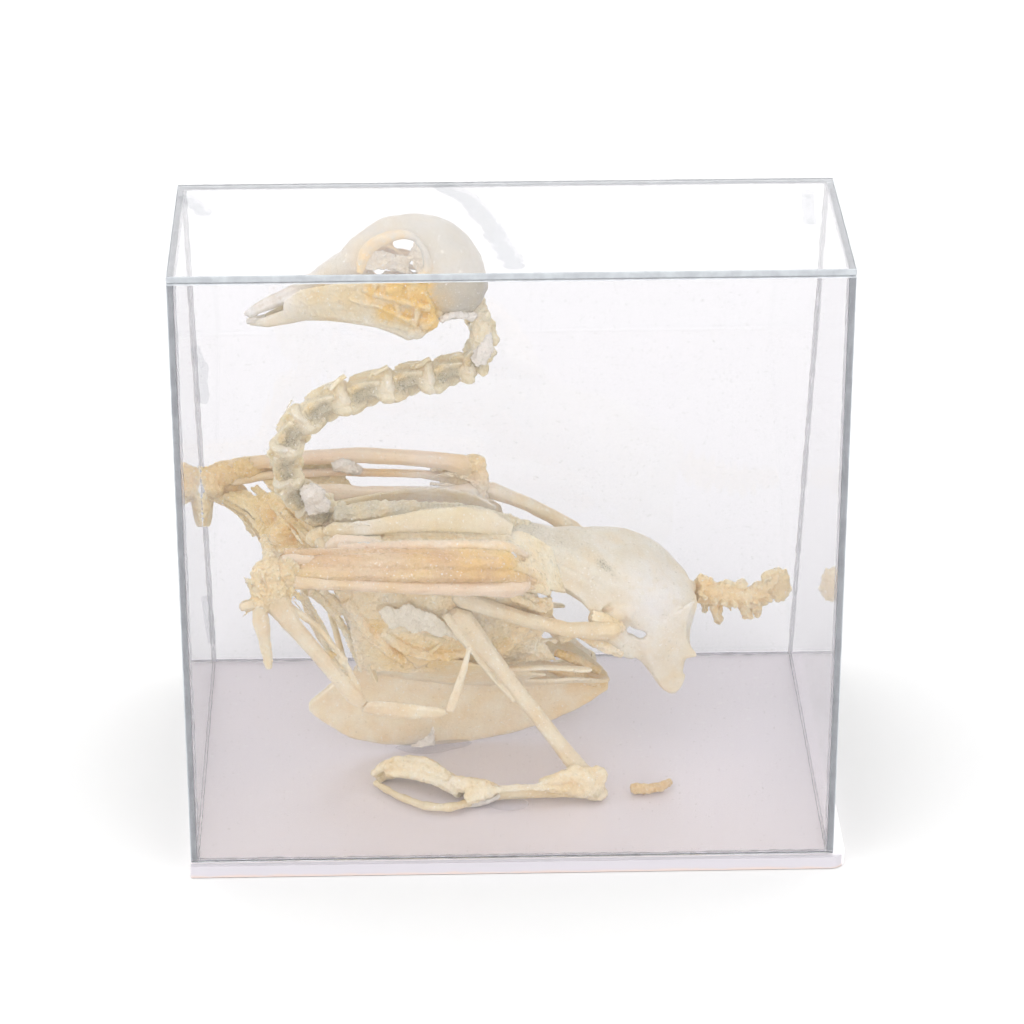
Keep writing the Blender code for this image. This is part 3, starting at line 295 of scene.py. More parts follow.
def growParts(plan, spot=birdSpot):
    # turns a plan of strands, fibres, sheets and blobs into solid parts
    def place(x, y, h, radius=0.4):
        return insideCase(spot(x, y, h), radius)

    parts = []
    if plan.get("strands"):
        parts.append(makeStrands([[(place(*row), row[3]) for row in path] for path in plan["strands"]]))
    for seed, (railA, railB, count, radius) in enumerate(plan.get("fibres", [])):
        lines = [[place(*row) for row in rail] for rail in (railA, railB)]
        parts.append(makeFibres(*lines, count, radius, seed + len(railA) * 7))
    for rails, thick in plan.get("sheets", []):
        parts.append(makeSheet([[place(*row) for row in rail] for rail in rails], thick))
    for row, radii in plan.get("blobs", []):
        parts.append(makeBlob(place(*row, radii[2]), radii))
    return parts


def readPlaces(piece):
    places = np.empty(len(piece.data.vertices) * 3)
    piece.data.vertices.foreach_get("co", places)
    return places.reshape(-1, 3)


def fitOutline(piece, middle, outline, fades):
    # draws the outline that the camera sees in to the photographed one, round a middle pixel
    places = readPlaces(piece)
    toEye = places - np.array(camera["place"])
    deep = toEye @ np.array(ahead) / camera["focalPixels"]
    fromX = toEye @ np.array(right) / deep + camera["imageWide"] / 2 - middle[0]
    fromY = -(toEye @ np.array(up)) / deep + camera["imageWide"] / 2 - middle[1]
    angle, reach = np.degrees(np.arctan2(fromY, fromX)), np.hypot(fromX, fromY)
    slots = ((angle + 180) // 4).astype(int) % 90
    widest = np.zeros(90)
    np.maximum.at(widest, slots, reach)
    widest = np.array([np.roll(widest, turn) for turn in (-1, 0, 1)]).mean(axis=0)
    line = []
    for x, y in outline:
        straight = y + shiftAt(y) - middle[1]
        line.append((np.degrees(np.arctan2(straight, x - middle[0])), np.hypot(x - middle[0], straight)))
    line.sort()
    wanted = np.interp(angle, [row[0] for row in line], [row[1] for row in line])
    now = np.interp(angle, np.arange(90) * 4 - 178, widest)
    grow = np.clip(wanted / np.maximum(now, 1), 0.8, 1.2) - 1
    grow *= np.interp(angle, [fade[0] for fade in fades], [fade[1] for fade in fades])
    places += np.outer(grow * fromX * deep, np.array(right)) - np.outer(grow * fromY * deep, np.array(up))
    piece.data.vertices.foreach_set("co", places.ravel())


def paintTones(piece, tones, spot=birdSpot):
    # soft spots of stain and painted shadow, of dark speckle and of pale glue and painted light, kept
    # with the mesh
    places = readPlaces(piece)
    for tone, spots in tones.items():
        layer = piece.data.attributes.get(tone)
        if not layer:
            layer = piece.data.attributes.new(tone, "FLOAT", "POINT")
        amount = np.empty(len(places))
        layer.data.foreach_get("value", amount)
        for where, radius, strength in spots:
            centre = np.array(where if isinstance(where, Vector) else spot(*where))
            gap = ((places - centre) ** 2).sum(axis=1) / (radius * mm) ** 2
            amount = np.maximum(amount, strength * np.exp(-gap))
        layer.data.foreach_set("value", amount)


def finishPiece(piece, material, nodes=()):
    piece.data.materials.clear()
    piece.data.materials.append(material)
    pick(piece)
    bpy.ops.object.shade_smooth()
    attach(piece, "root")
    if nodes:
        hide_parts(*nodes)


# Materials
def startMaterial(name):
    material = bpy.data.materials.new(name)
    material.use_nodes = True
    tree = material.node_tree
    return material, tree, tree.nodes["Principled BSDF"]


def addNode(tree, kind, **values):
    node = tree.nodes.new(kind)
    for key, value in values.items():
        if key in node.inputs:
            node.inputs[key].default_value = value
        else:
            setattr(node, key, value)
    return node


def setSockets(tree, pairs):
    for socket, value in pairs:
        if isinstance(value, bpy.types.NodeSocket):
            tree.links.new(value, socket)
        else:
            socket.default_value = value


def addNoise(tree, vector, scale, detail=3.0, rough=0.55):
    node = addNode(tree, "ShaderNodeTexNoise", Scale=scale, Detail=detail, Roughness=rough)
    tree.links.new(vector, node.inputs["Vector"])
    return node.outputs["Fac"]


def addRamp(tree, value, low, high, lowColour=(0, 0, 0), highColour=(1, 1, 1)):
    node = tree.nodes.new("ShaderNodeValToRGB")
    for element, position, colour in zip(node.color_ramp.elements, (low, high), (lowColour, highColour)):
        element.position = position
        element.color = (*colour, 1)
    tree.links.new(value, node.inputs["Fac"])
    return node.outputs["Color"]


def addMix(tree, share, a, b, blend="MIX"):
    node = addNode(tree, "ShaderNodeMix", data_type="RGBA", blend_type=blend)
    b = (*b, 1) if isinstance(b, tuple) else b
    setSockets(tree, ((node.inputs[0], share), (node.inputs[6], a), (node.inputs[7], b)))
    return node.outputs[2]


def addMath(tree, operation, a, b):
    node = addNode(tree, "ShaderNodeMath", operation=operation)
    setSockets(tree, ((node.inputs[0], a), (node.inputs[1], b)))
    return node.outputs[0]


def addOver(tree, colour, mask, share, over):
    # lays a colour over another one by a share of the mask
    return addMix(tree, addMath(tree, "MULTIPLY", mask, share), colour, over)


def addBump(tree, shader, height, strength):
    bump = addNode(tree, "ShaderNodeBump", Strength=strength, Distance=0.0003)
    tree.links.new(height, bump.inputs["Height"])
    tree.links.new(bump.outputs[0], shader.inputs["Normal"])


def setShader(tree, shader, **values):
    # each name is a socket of the shader, written without its space
    for socket in shader.inputs:
        name = socket.name.replace(" ", "")
        if name in values:
            setSockets(tree, [(socket, values[name])])


def boneFinish(name, look):
    # mottled bone with grease stains, hollows darkened toward the stain colour as painted shade, ridges
    # lightened as painted highlight, painted white glints, dark specks and a fine grain
    material, tree, shader = startMaterial(name)
    coords = addNode(tree, "ShaderNodeTexCoord").outputs["Object"]
    along = addNode(tree, "ShaderNodeMapping", Rotation=(0, 0, -bird["yaw"]), Scale=look["stretch"])
    tree.links.new(coords, along.inputs["Vector"])
    tone = {key: addNode(tree, "ShaderNodeAttribute", attribute_name=key).outputs["Fac"]
            for key in ("stain", "grey", "chalkAndLight")}
    broad = addNoise(tree, along.outputs[0], 170, 4)
    colour = addRamp(tree, broad, 0.32, 0.68, look["deep"], look["pale"])
    fine = addNoise(tree, along.outputs[0], 1500, 4)
    grain = addRamp(tree, fine, 0.3, 0.7, (0.88, 0.85, 0.80), (1, 1, 1))
    colour = addMix(tree, look["grain"], colour, grain, "MULTIPLY")
    stainMap = addRamp(tree, addNoise(tree, along.outputs[0], 120, 5, 0.6), 0.48, 0.7)
    colour = addOver(tree, colour, stainMap, look["stainShare"], look["stain"])
    bent = addNode(tree, "ShaderNodeNewGeometry").outputs["Pointiness"]
    # painted shade: concave places are darkened toward the stain colour, as occlusion would darken them
    hollow = addRamp(tree, bent, 0.40, 0.5, (1, 1, 1), (0, 0, 0))
    colour = addOver(tree, colour, hollow, look["hollowShare"], look["stain"])
    # painted highlight: convex ridges are lightened toward a pale colour
    colour = addOver(tree, colour, addRamp(tree, bent, 0.52, 0.62), 0.5, look["ridge"])
    broken = addRamp(tree, addNoise(tree, coords, 420, 4, 0.65), 0.2, 0.5)
    colour = addOver(tree, colour, tone["stain"], broken, look["stainDeep"])
    colour = addOver(tree, colour, tone["grey"], 0.75, look["grey"])
    dots = addRamp(tree, addNoise(tree, coords, 2300, 2, 0.5), 0.54, 0.64)
    speckled = addMath(tree, "MULTIPLY", tone["grey"], look["specks"])
    colour = addOver(tree, colour, dots, speckled, look["speckColour"])
    colour = addOver(tree, colour, tone["chalkAndLight"], broken, look["chalkAndLight"])
    # painted highlights: fine white glints laid into the colour
    glints = addRamp(tree, addNoise(tree, coords, 1900, 1, 0.5), 0.68, 0.73)
    colour = addOver(tree, colour, glints, 0.7, look["glint"])
    smooth, dull = (look["rough"] - 0.1,) * 3, (look["rough"] + 0.12,) * 3
    gloss = addRamp(tree, addNoise(tree, coords, 700, 3), 0.3, 0.7, smooth, dull)
    addBump(tree, shader, addNoise(tree, along.outputs[0], 1700, 5, 0.6), look["bump"])
    setShader(tree, shader, BaseColor=colour, Roughness=gloss, IOR=1.5, SubsurfaceWeight=look["glow"],
              SubsurfaceRadius=look["spread"], SubsurfaceScale=look["depth"])
    return material


plainBone = {
    "pale": (0.93, 0.86, 0.70), "deep": (0.88, 0.75, 0.52), "ridge": (0.96, 0.91, 0.79),
    "stain": (0.85, 0.62, 0.30), "stainDeep": (0.87, 0.59, 0.21), "stainShare": 0.35, "hollowShare": 0.4,
    "rough": 0.36, "bump": 0.6, "glow": 0.35, "depth": 0.002, "grain": 0.4, "grey": (0.55, 0.50, 0.36),
    "specks": 1.0, "speckColour": (0.20, 0.17, 0.11), "chalkAndLight": (0.93, 0.90, 0.87),
    "glint": (0.97, 0.96, 0.93), "spread": (1.0, 0.85, 0.7), "stretch": (1, 1, 1)}


def bone(**changes):
    return {**plainBone, **changes}


finishes = {
    "skull_bone": bone(pale=(0.625, 0.59, 0.52), deep=(0.61, 0.555, 0.435), stainShare=0.12),
    "neck_bone": bone(pale=(0.90, 0.82, 0.62), deep=(0.84, 0.72, 0.46), specks=0.6, stainShare=0.4,
                      grey=(0.42, 0.38, 0.27)),
    "spine_bone": bone(pale=(0.90, 0.83, 0.65), deep=(0.84, 0.74, 0.50), specks=0.35,
                       grey=(0.60, 0.57, 0.45), speckColour=(0.34, 0.31, 0.22)),
    "pelvis_bone": bone(pale=(0.85, 0.81, 0.70), deep=(0.80, 0.72, 0.55), stainShare=0.3),
    "tail_bone": bone(pale=(0.94, 0.84, 0.62), deep=(0.87, 0.66, 0.38), stainShare=0.5),
    "breast_bone": bone(pale=(0.93, 0.85, 0.68), deep=(0.90, 0.75, 0.52)),
    "rib_bone": bone(pale=(0.94, 0.85, 0.64), deep=(0.88, 0.73, 0.47)),
    "shoulder_bone": bone(pale=(0.84, 0.76, 0.57), deep=(0.80, 0.67, 0.43)),
    "wing_bone": bone(pale=(0.95, 0.83, 0.67), deep=(0.90, 0.70, 0.52), stretch=(0.14, 1, 1)),
    "hand_bone": bone(pale=(0.93, 0.84, 0.65), deep=(0.87, 0.70, 0.47)),
    "leg_bone": bone(pale=(0.86, 0.79, 0.62), deep=(0.82, 0.69, 0.48)),
    "foot_bone": bone(pale=(0.86, 0.77, 0.57), deep=(0.80, 0.65, 0.40)),
    "dry_sheath": bone(pale=(0.78, 0.60, 0.36), deep=(0.68, 0.45, 0.22), stainShare=0.6)}
materials = {name: boneFinish(name, look) for name, look in finishes.items()}
plainTissue = bone(stainShare=0.5, rough=0.3, stretch=(0.2, 1, 1), glow=0.4, depth=0.0025)


def tissue(**changes):
    return {**plainTissue, **changes}


tissueLooks = {
    "dried_tissue": tissue(pale=(0.96, 0.82, 0.57), deep=(0.91, 0.68, 0.36)),
    "pale_tissue": tissue(pale=(0.96, 0.88, 0.70), deep=(0.93, 0.77, 0.50), stainShare=0.4,
                          stretch=(1, 1, 1)),
    "warm": tissue(pale=(1.0, 0.89, 0.69), deep=(1.0, 0.78, 0.50), stainShare=0.4, stretch=(1, 1, 1)),
    "muscle": tissue(pale=(0.88, 0.72, 0.50), deep=(0.70, 0.45, 0.25), ridge=(0.84, 0.70, 0.52),
                     grain=0.7, stretch=(0.08, 1, 1)),
    "orbit": tissue(pale=(1.0, 0.92, 0.78), deep=(1.0, 0.84, 0.60), stainShare=0.2)}
tissueFinish = {name: boneFinish(name, look) for name, look in tissueLooks.items()}
tissueFinish["pink"] = materials["wing_bone"]


def glueFinish(name, colour, rough, solid=1.0):
    # set glue, clouded and a little uneven
    material, tree, shader = startMaterial(name)
    coords = addNode(tree, "ShaderNodeTexCoord").outputs["Object"]
    cloud = addNoise(tree, coords, 380, 4)
    dim = tuple(part * 0.9 for part in colour)
    addBump(tree, shader, addNoise(tree, coords, 1500, 4), 0.5)
    setShader(tree, shader, BaseColor=addRamp(tree, cloud, 0.3, 0.7, dim, colour),
              Roughness=addRamp(tree, cloud, 0.3, 0.7, (rough,) * 3, (rough * 0.5,) * 3),
              IOR=1.4, Alpha=solid, SubsurfaceWeight=0.3, SubsurfaceRadius=(1.0, 0.9, 0.85),
              SubsurfaceScale=0.002)
    return material


whiteGlue = glueFinish("white_glue", (0.92, 0.86, 0.77), 0.3)
creamGlue = glueFinish("cream_glue", (0.98, 0.90, 0.72), 0.4)
clearGlue = glueFinish("clear_glue", (0.86, 0.83, 0.90), 0.15, 0.13)
seamGlue = glueFinish("seam_glue", (0.55, 0.56, 0.60), 0.3, 0.3)
print("bone materials made")


def growPiece(name, parts, look, material, nodes=()):
    piece = joinAll(parts, name)
    addRemesh(piece, look["voxel"])
    addSmooth(piece, look["melt"])
    for texture, key in ((None, "swell"), (swells, "lumps"), (ripples, "ripple"), (wrinkles, "wrinkle")):
        if look.get(key):
            addDisplace(piece, texture, look[key])
    addThinning(piece)
    applyAll(piece)
    finishPiece(piece, material, nodes)
    return piece


# Tones that the photograph shows on the body, each (pixel x, pixel y, h), radius in mm, strength; a few
# stain spots are painted shadow and a few chalk spots are painted light
bodyTones = {
    "stain": [
        ((275, 520, -14), 7, 0.9), ((300, 530, -4), 6, 0.8), ((262, 590, 31), 4, 0.5),
        ((290, 580, 31), 4, 0.6), ((505, 563, 24), 4.5, 1.0), ((470, 562, 25), 5, 0.8),
        ((420, 562, 26), 5, 0.5), ((340, 585, 29), 4, 0.5), ((390, 590, 28), 4, 0.5),
        ((300, 583, 30), 5, 0.6), ((460, 468, -20), 6, 0.8), ((390, 473, -22), 6, 0.7),
        # painted shadow: the stain spots at (400, 652), (440, 655), (465, 660) and (378, 625) lay the
        # shade under the thorax glue patch
        ((250, 470, -27), 6, 0.7), ((235, 492, -27), 4, 0.7), ((400, 652, 12), 6, 0.8),
        ((440, 655, 12), 6, 0.9), ((465, 660, 12), 5, 0.6), ((378, 625, 14), 2.5, 0.9),
        ((606, 628, 12), 4, 0.7), ((585, 630, 13), 5, 0.5), ((560, 625, 14), 5, 0.5),
        ((515, 610, 14), 5, 0.6), ((500, 640, 10), 6, 0.6), ((570, 650, 8), 4, 0.8),
        ((612, 625, 14), 4, 0.7), ((600, 680, 1), 4, 0.8), ((590, 700, 0), 3, 0.6),
        ((560, 715, 0), 3, 0.4), ((480, 475, -18), 5, 1.0), ((560, 655, 4), 5, 0.9),
        ((592, 676, 2), 5, 0.9), ((545, 635, -18), 6, 1.0), ((570, 650, -16), 6, 1.0),
        ((590, 666, -15), 5, 1.0), ((700, 590, 0), 4, 0.6), ((725, 600, 0), 4, 0.5),
        ((690, 660, 9), 3, 0.5), ((670, 675, 9), 4, 0.3), ((460, 690, 10), 4, 0.4),
        ((420, 700, 15), 4, 0.3), ((335, 655, 24), 2, 0.9), ((570, 780, 33), 3.5, 0.5),
        ((597, 775, 33), 3, 0.4), ((520, 570, 23), 3, 0.6), ((545, 575, 20), 4, 0.4)],
    "grey": [
        ((530, 525, 3), 5, 0.5), ((560, 530, 5), 6, 0.3), ((603, 563, 9.5), 1.2, 1.4),
        ((608, 568, 10), 0.9, 1.2), ((612, 574, 10), 0.8, 1.0), ((617, 579, 10.5), 0.7, 0.8)],
    "chalkAndLight": [
        # painted light: the spots at (430, 500) and (480, 506) lighten the far scapula where shade falls,
        # and those at (655, 600) and (640, 590) are a painted highlight on the pelvis
        ((430, 500, -14), 10, 0.8), ((480, 506, -14), 9, 0.8), ((655, 600, 9), 9, 0.7),
        ((640, 590, 10), 6, 0.6), ((500, 520, 11), 6, 0.3), ((420, 745, 0), 3, 0.6),
        ((365, 530, 12), 3, 0.6), ((410, 535, 14), 3, 0.3)]}


# Bones that keep their solid's form: melted smooth, then given their own small unevenness
sides = ("left", "right")
backTones = {
    "grey": [
        ((345, 512, 6), 3, 0.8), ((372, 506, 6), 3, 0.8), ((400, 512, 6), 3.5, 0.9),
        ((432, 504, 5), 4, 1.0), ((462, 508, 5), 4, 0.9), ((500, 516, 4), 4, 0.7)],
    "stain": [((358, 516, 8), 1.6, 0.7), ((388, 516, 8), 1.6, 0.8), ((415, 516, 8), 1.6, 0.6)]}
backLumps = {
    "strands": [
        [(334, 516, 4, 2.2), (366, 513, 4, 2.7), (405, 512, 4, 2.8), (450, 513, 3, 2.6),
         (490, 519, 2, 2.3), (528, 528, 1, 1.6)]]}
backPiece = growPiece("back_bone", [copySolid("back")] + growParts(backLumps),
                      {"voxel": 0.22, "melt": 5, "swell": 0.1, "lumps": 1.2, "ripple": 0.9,
                       "wrinkle": 0.7}, materials["spine_bone"], ["back"])
paintTones(backPiece, backTones)
boneLooks = [
    (["sternum"], {"slot": "breast_bone", "voxel": 0.32, "melt": 8, "swell": 0.12, "lumps": 0.3,
                   "ripple": 0.12}),
    (["ribs_" + side for side in sides],
     {"slot": "rib_bone", "voxel": 0.2, "melt": 3, "swell": 0.08, "lumps": 0.3, "ripple": 0.2}),
    (["coracoid_" + side for side in sides] + ["scapula_" + side for side in sides] + ["furcula"],
     {"slot": "shoulder_bone", "voxel": 0.2, "melt": 6, "swell": 0.08, "lumps": 0.2, "ripple": 0.1}),
    ([part + side for side in sides for part in ("humerus_", "ulna_", "radius_")],
     {"slot": "wing_bone", "voxel": 0.24, "melt": 10, "swell": 0.14, "lumps": 0.3, "ripple": 0.1}),
    ([part + side for side in sides
      for part in ("wrist_", "carpometacarpus_", "alula_", "wing_finger_", "wing_tip_")],
     {"slot": "hand_bone", "voxel": 0.2, "melt": 7, "swell": 0.1, "lumps": 0.4, "ripple": 0.2}),
    ([part + side for side in sides for part in ("femur_", "tibiotarsus_")],
     {"slot": "leg_bone", "voxel": 0.24, "melt": 10, "swell": 0.14, "lumps": 0.25, "ripple": 0.1}),
    ([part + side for side in sides
      for part in ("tarsometatarsus_", "toe_inner_", "toe_middle_", "toe_outer_")]
     + ["toe_hind_right"],
     {"slot": "foot_bone", "voxel": 0.2, "melt": 6, "swell": 0.1, "lumps": 0.4, "ripple": 0.25}),
    (["toe_hind_loose"], {"slot": "dry_sheath", "voxel": 0.15, "melt": 5, "swell": 0.06,
                          "lumps": 0.6, "ripple": 0.9})]
for nodes, look in boneLooks:
    for node in nodes:
        piece = growPiece(node + "_bone", [copySolid(node)], look, materials[look["slot"]],
                          [node])
        paintTones(piece, bodyTones)
print("plain bones made")


# The skull: its dome drawn in, the eye sockets opened, their lattice and rims laid in
skull = {
    "dome": [
        (327, 269), (336, 258), (349, 240), (364, 228), (385, 216), (400, 214.5), (424, 214), (435, 215),
        (450, 221), (465, 232), (476, 247), (485, 268), (488, 284), (484, 300), (472, 314)],
    "middle": (417, 276), "fades": [(-177, 0), (-165, 1), (25, 1), (55, 0)], "foot": (400, 287),
    "rise": 5.0, "socket": (394, 264), "socketDepth": 9.8, "socketRadii": (7.4, 9.0, 6.8),
    "holes": [
        [(399, 243, 1.5), (406, 241, 1.8), (410, 247, 1.5), (402, 248, 1.2)],
        [(373, 263, 1.5), (381, 259, 1.9), (389, 264, 1.6), (379, 268, 1.5), (386, 254, 1.2)],
        [(411, 263, 1.3), (414, 268, 1.0)], [(419, 287, 0.9), (422, 290, 1.1)]],
    "rims": [
        [(360, 272, 8.2, 0.8), (363, 258, 8.2, 1.3), (371, 246, 8.4, 1.5), (385, 238, 8.8, 1.4),
         (402, 234, 9.0, 1.1), (416, 238, 9.0, 0.7)],
        [(416, 238, 9.0, 0.6), (425, 252, 9.2, 0.8), (427, 268, 9.2, 1.0), (420, 282, 9.0, 1.0)]],
    "lattice": [
        [(368, 268, 3, 0.5), (384, 256, 1, 0.6), (398, 251, 0, 0.8), (414, 254, 1, 0.6)],
        [(396, 250, 0, 0.6), (401, 262, 1, 0.8), (402, 274, 2, 1.0)],
        [(378, 246, 2, 0.5), (390, 252, 1, 0.5), (404, 264, 2, 0.6), (420, 274, 4, 0.5)],
        [(374, 254, 2, 0.4), (390, 266, 1, 0.5), (398, 276, 1, 0.6)],
        [(408, 254, 2, 0.5), (416, 260, 3, 0.5), (424, 272, 5, 0.6)],
        [(384, 243, 3, 0.4), (396, 250, 2, 0.5), (410, 262, 3, 0.4)]],
    "tip": [[(334, 285, 0, 2.2), (316, 287, 0, 2.2), (300, 291, 0, 2.0), (285, 297, 0, 1.8),
             (267, 304.5, 0, 1.5), (255, 310, 0, 1.1), (244.6, 314.6, 0, 0.5)],
            [(266, 320, 0, 1.3), (256, 321, 0, 1.1), (246.5, 321.5, 0, 0.6)]], "firstVoxel": 0.3,
    "firstMelt": 4, "domeMelt": 300, "holeReach": 16, "voxel": 0.25, "melt": 3, "swell": 0.06,
    "lumps": 0.16, "ripple": 0.1}


def smoothStep(value):
    value = np.clip(value, 0, 1)
    return value * value * (3 - 2 * value)


def markDome(piece):
    foot = headSpot(*skull["foot"], 0)
    group = piece.vertex_groups.new(name="dome")
    for vertex in piece.data.vertices:
        share = smoothStep((vertex.co.z - foot.z) / (skull["rise"] * mm))
        if share > 0.02:
            group.add([vertex.index], float(share), "REPLACE")


def makeSkull():
    piece = copySolid("skull")
    addRemesh(piece, skull["firstVoxel"])
    addSmooth(piece, skull["firstMelt"])
    applyAll(piece)
    markDome(piece)
    addSmooth(piece, skull["domeMelt"], "dome")
    applyAll(piece)
    fitOutline(piece, skull["middle"], skull["dome"], skull["fades"])
    cuts = []
    for side in (1, -1):
        middle = headSpot(*skull["socket"], 0)
        middle.y -= side * skull["socketDepth"] * mm
        cuts.append(makeBlob(middle, skull["socketRadii"]))
    for hole in skull["holes"]:
        for x, y, radius in hole:
            ends = [headSpot(x, y, side * skull["holeReach"]) for side in (1, -1)]
            cuts.append(makeStrands([[(end, radius) for end in ends]]))
    cutter = joinAll(cuts, "cutter")
    addRemesh(cutter, skull["voxel"])
    applyAll(cutter)
    cut = piece.modifiers.new("cut", "BOOLEAN")
    cut.operation = "DIFFERENCE"
    cut.solver = "MANIFOLD"
    cut.object = cutter
    applyAll(piece)
    bpy.data.objects.remove(cutter)
    parts = [piece] + growParts({"strands": skull["rims"] + skull["lattice"] + skull["tip"]},
                                headSpot)
    return growPiece("skull_bone", parts, skull, materials["skull_bone"], ["skull"])


headTones = {
    "stain": [
        ((362, 266, 8), 2.4, 1.5), ((366, 254, 8), 2.4, 1.5), ((374, 245, 8), 2.4, 1.5),
        ((386, 239, 8.5), 2.4, 1.5), ((400, 235, 9), 1.8, 1.2), ((374, 258, 3), 4.5, 1.2),
        ((388, 250, 2), 4.5, 1.0), ((404, 262, 1), 4.5, 1.1), ((416, 254, 3), 4, 1.0),
        ((414, 270, 5), 3, 0.9), ((374, 292, 9), 3, 1.1), ((398, 290, 9.5), 4, 1.4),
        ((420, 298, 9.4), 3.5, 1.5), ((428, 314, 9.4), 3.0, 1.5), ((432, 325, 9), 2.4, 1.5),
        ((388, 312, 9.4), 3, 1.5), ((405, 316, 9.6), 2.6, 1.2), ((380, 304, 9), 2, 0.9),
        ((425, 284, 9.4), 2.5, 1.2), ((415, 322, 9), 2, 1.0), ((442, 300, 9), 3, 0.4),
        ((290, 296, 4), 3, 0.4), ((262, 304, 2), 3, 0.35), ((320, 292, 6), 4, 0.5),
        ((345, 298, 8), 5, 0.5), ((330, 314, 6), 4, 0.3)],
    "chalkAndLight": [((262, 304, 2), 4, 0.8), ((285, 297, 3), 4, 0.8), ((248, 313, 1), 3, 0.9)]}

skullPiece = makeSkull()
paintTones(skullPiece, headTones, headSpot)
jawFinish = boneFinish("jaw_bone", bone(pale=(0.86, 0.80, 0.67), deep=(0.82, 0.72, 0.52),
                                        stainShare=0.15))
jawLook = {"voxel": 0.2, "melt": 7, "swell": 0.1, "lumps": 0.15, "ripple": 0.1}
jaw = growPiece("mandible_bone", [copySolid("mandible")], jawLook, jawFinish,
                ["mandible"])
paintTones(jaw, headTones, headSpot)

cheek = {
    "sheets": [
        ([[(284, 301, 4.2), (305, 290, 5.6), (345, 283, 7.6), (385, 281, 8.8), (420, 282, 8.8),
           (446, 284, 7.0)],
          [(284, 310, 4.2), (310, 302, 6.2), (350, 300, 8.0), (392, 302, 9.4), (424, 304, 9.0),
           (448, 304, 7.0)],
          [(286, 318.5, 4.2), (320, 317, 6.0), (356, 321, 7.6), (392, 328, 8.6), (415, 335, 8.6),
           (432, 328, 7.4)]], 0.9)],
    "strands": [
        [(350, 300, 8.6, 0.35), (362, 304, 9.0, 0.5), (378, 306, 9.6, 0.5)],
        [(362, 290, 9, 0.6), (385, 297, 10, 0.8), (408, 303, 10.4, 0.9), (430, 309, 10.4, 1.0)],
        [(372, 304, 9.6, 0.5), (390, 312, 10, 0.7), (412, 322, 10, 0.9)],
        [(420, 286, 8.8, 0.6), (427, 298, 9.0, 0.8), (432, 314, 8.8, 1.0), (425, 329, 8.6, 0.9)],
        [(402, 286, 10, 0.7), (397, 306, 10.2, 0.7), (404, 322, 9.8, 0.5)],
        [(376, 284, 9.6, 0.8), (372, 296, 9.2, 0.6), (384, 306, 9.4, 0.4)],
        [(414, 300, 10.6, 0.8), (418, 312, 10.4, 0.9), (414, 326, 9.8, 0.7)]],
    "blobs": [
        ((416, 333, 8.6), (2.2, 1.0, 1.5)), ((429, 322, 9.2), (2.4, 1.4, 2.2)),
        ((396, 292, 9.8), (2.6, 1.0, 1.8))]}
tissueLook = {"voxel": 0.2, "melt": 4, "swell": 0.05, "lumps": 0.5, "ripple": 0.4, "wrinkle": 0.3}
cheekPiece = growPiece("cheek_tissue", growParts(cheek, headSpot), tissueLook, jawFinish)
paintTones(cheekPiece, headTones, headSpot)
orbit = {
    "sheets": [
        ([[(364, 262, 7), (372, 252, 6), (384, 250, 5), (394, 254, 4)],
          [(366, 268, 7), (378, 262, 6), (388, 262, 5), (398, 264, 4)],
          [(368, 276, 7), (380, 275, 6), (392, 277, 5), (404, 278, 5)]], 0.5),
        ([[(414, 240, 7), (420, 250, 7), (424, 262, 7.4), (426, 276, 7.4)],
          [(409, 256, 4), (413, 262, 5), (416, 270, 6), (418, 278, 7)]], 0.5),
        ([[(396, 253, 4), (404, 255, 4), (412, 255, 4)],
          [(397, 264, 4), (403, 266, 4), (409, 268, 4)],
          [(400, 278, 5), (406, 279, 5), (412, 279, 6)]], 0.5)],
    "look": {"voxel": 0.18, "melt": 3, "swell": 0.02, "lumps": 0.8, "ripple": 0.7, "wrinkle": 0.6}}
orbitPiece = growPiece("orbit_membrane", growParts(orbit, headSpot), orbit["look"],
                       tissueFinish["orbit"])
paintTones(orbitPiece, {"stain": [((374, 262, 3), 3, 0.5), ((414, 262, 3), 3, 0.5)]}, headSpot)
print("head made")


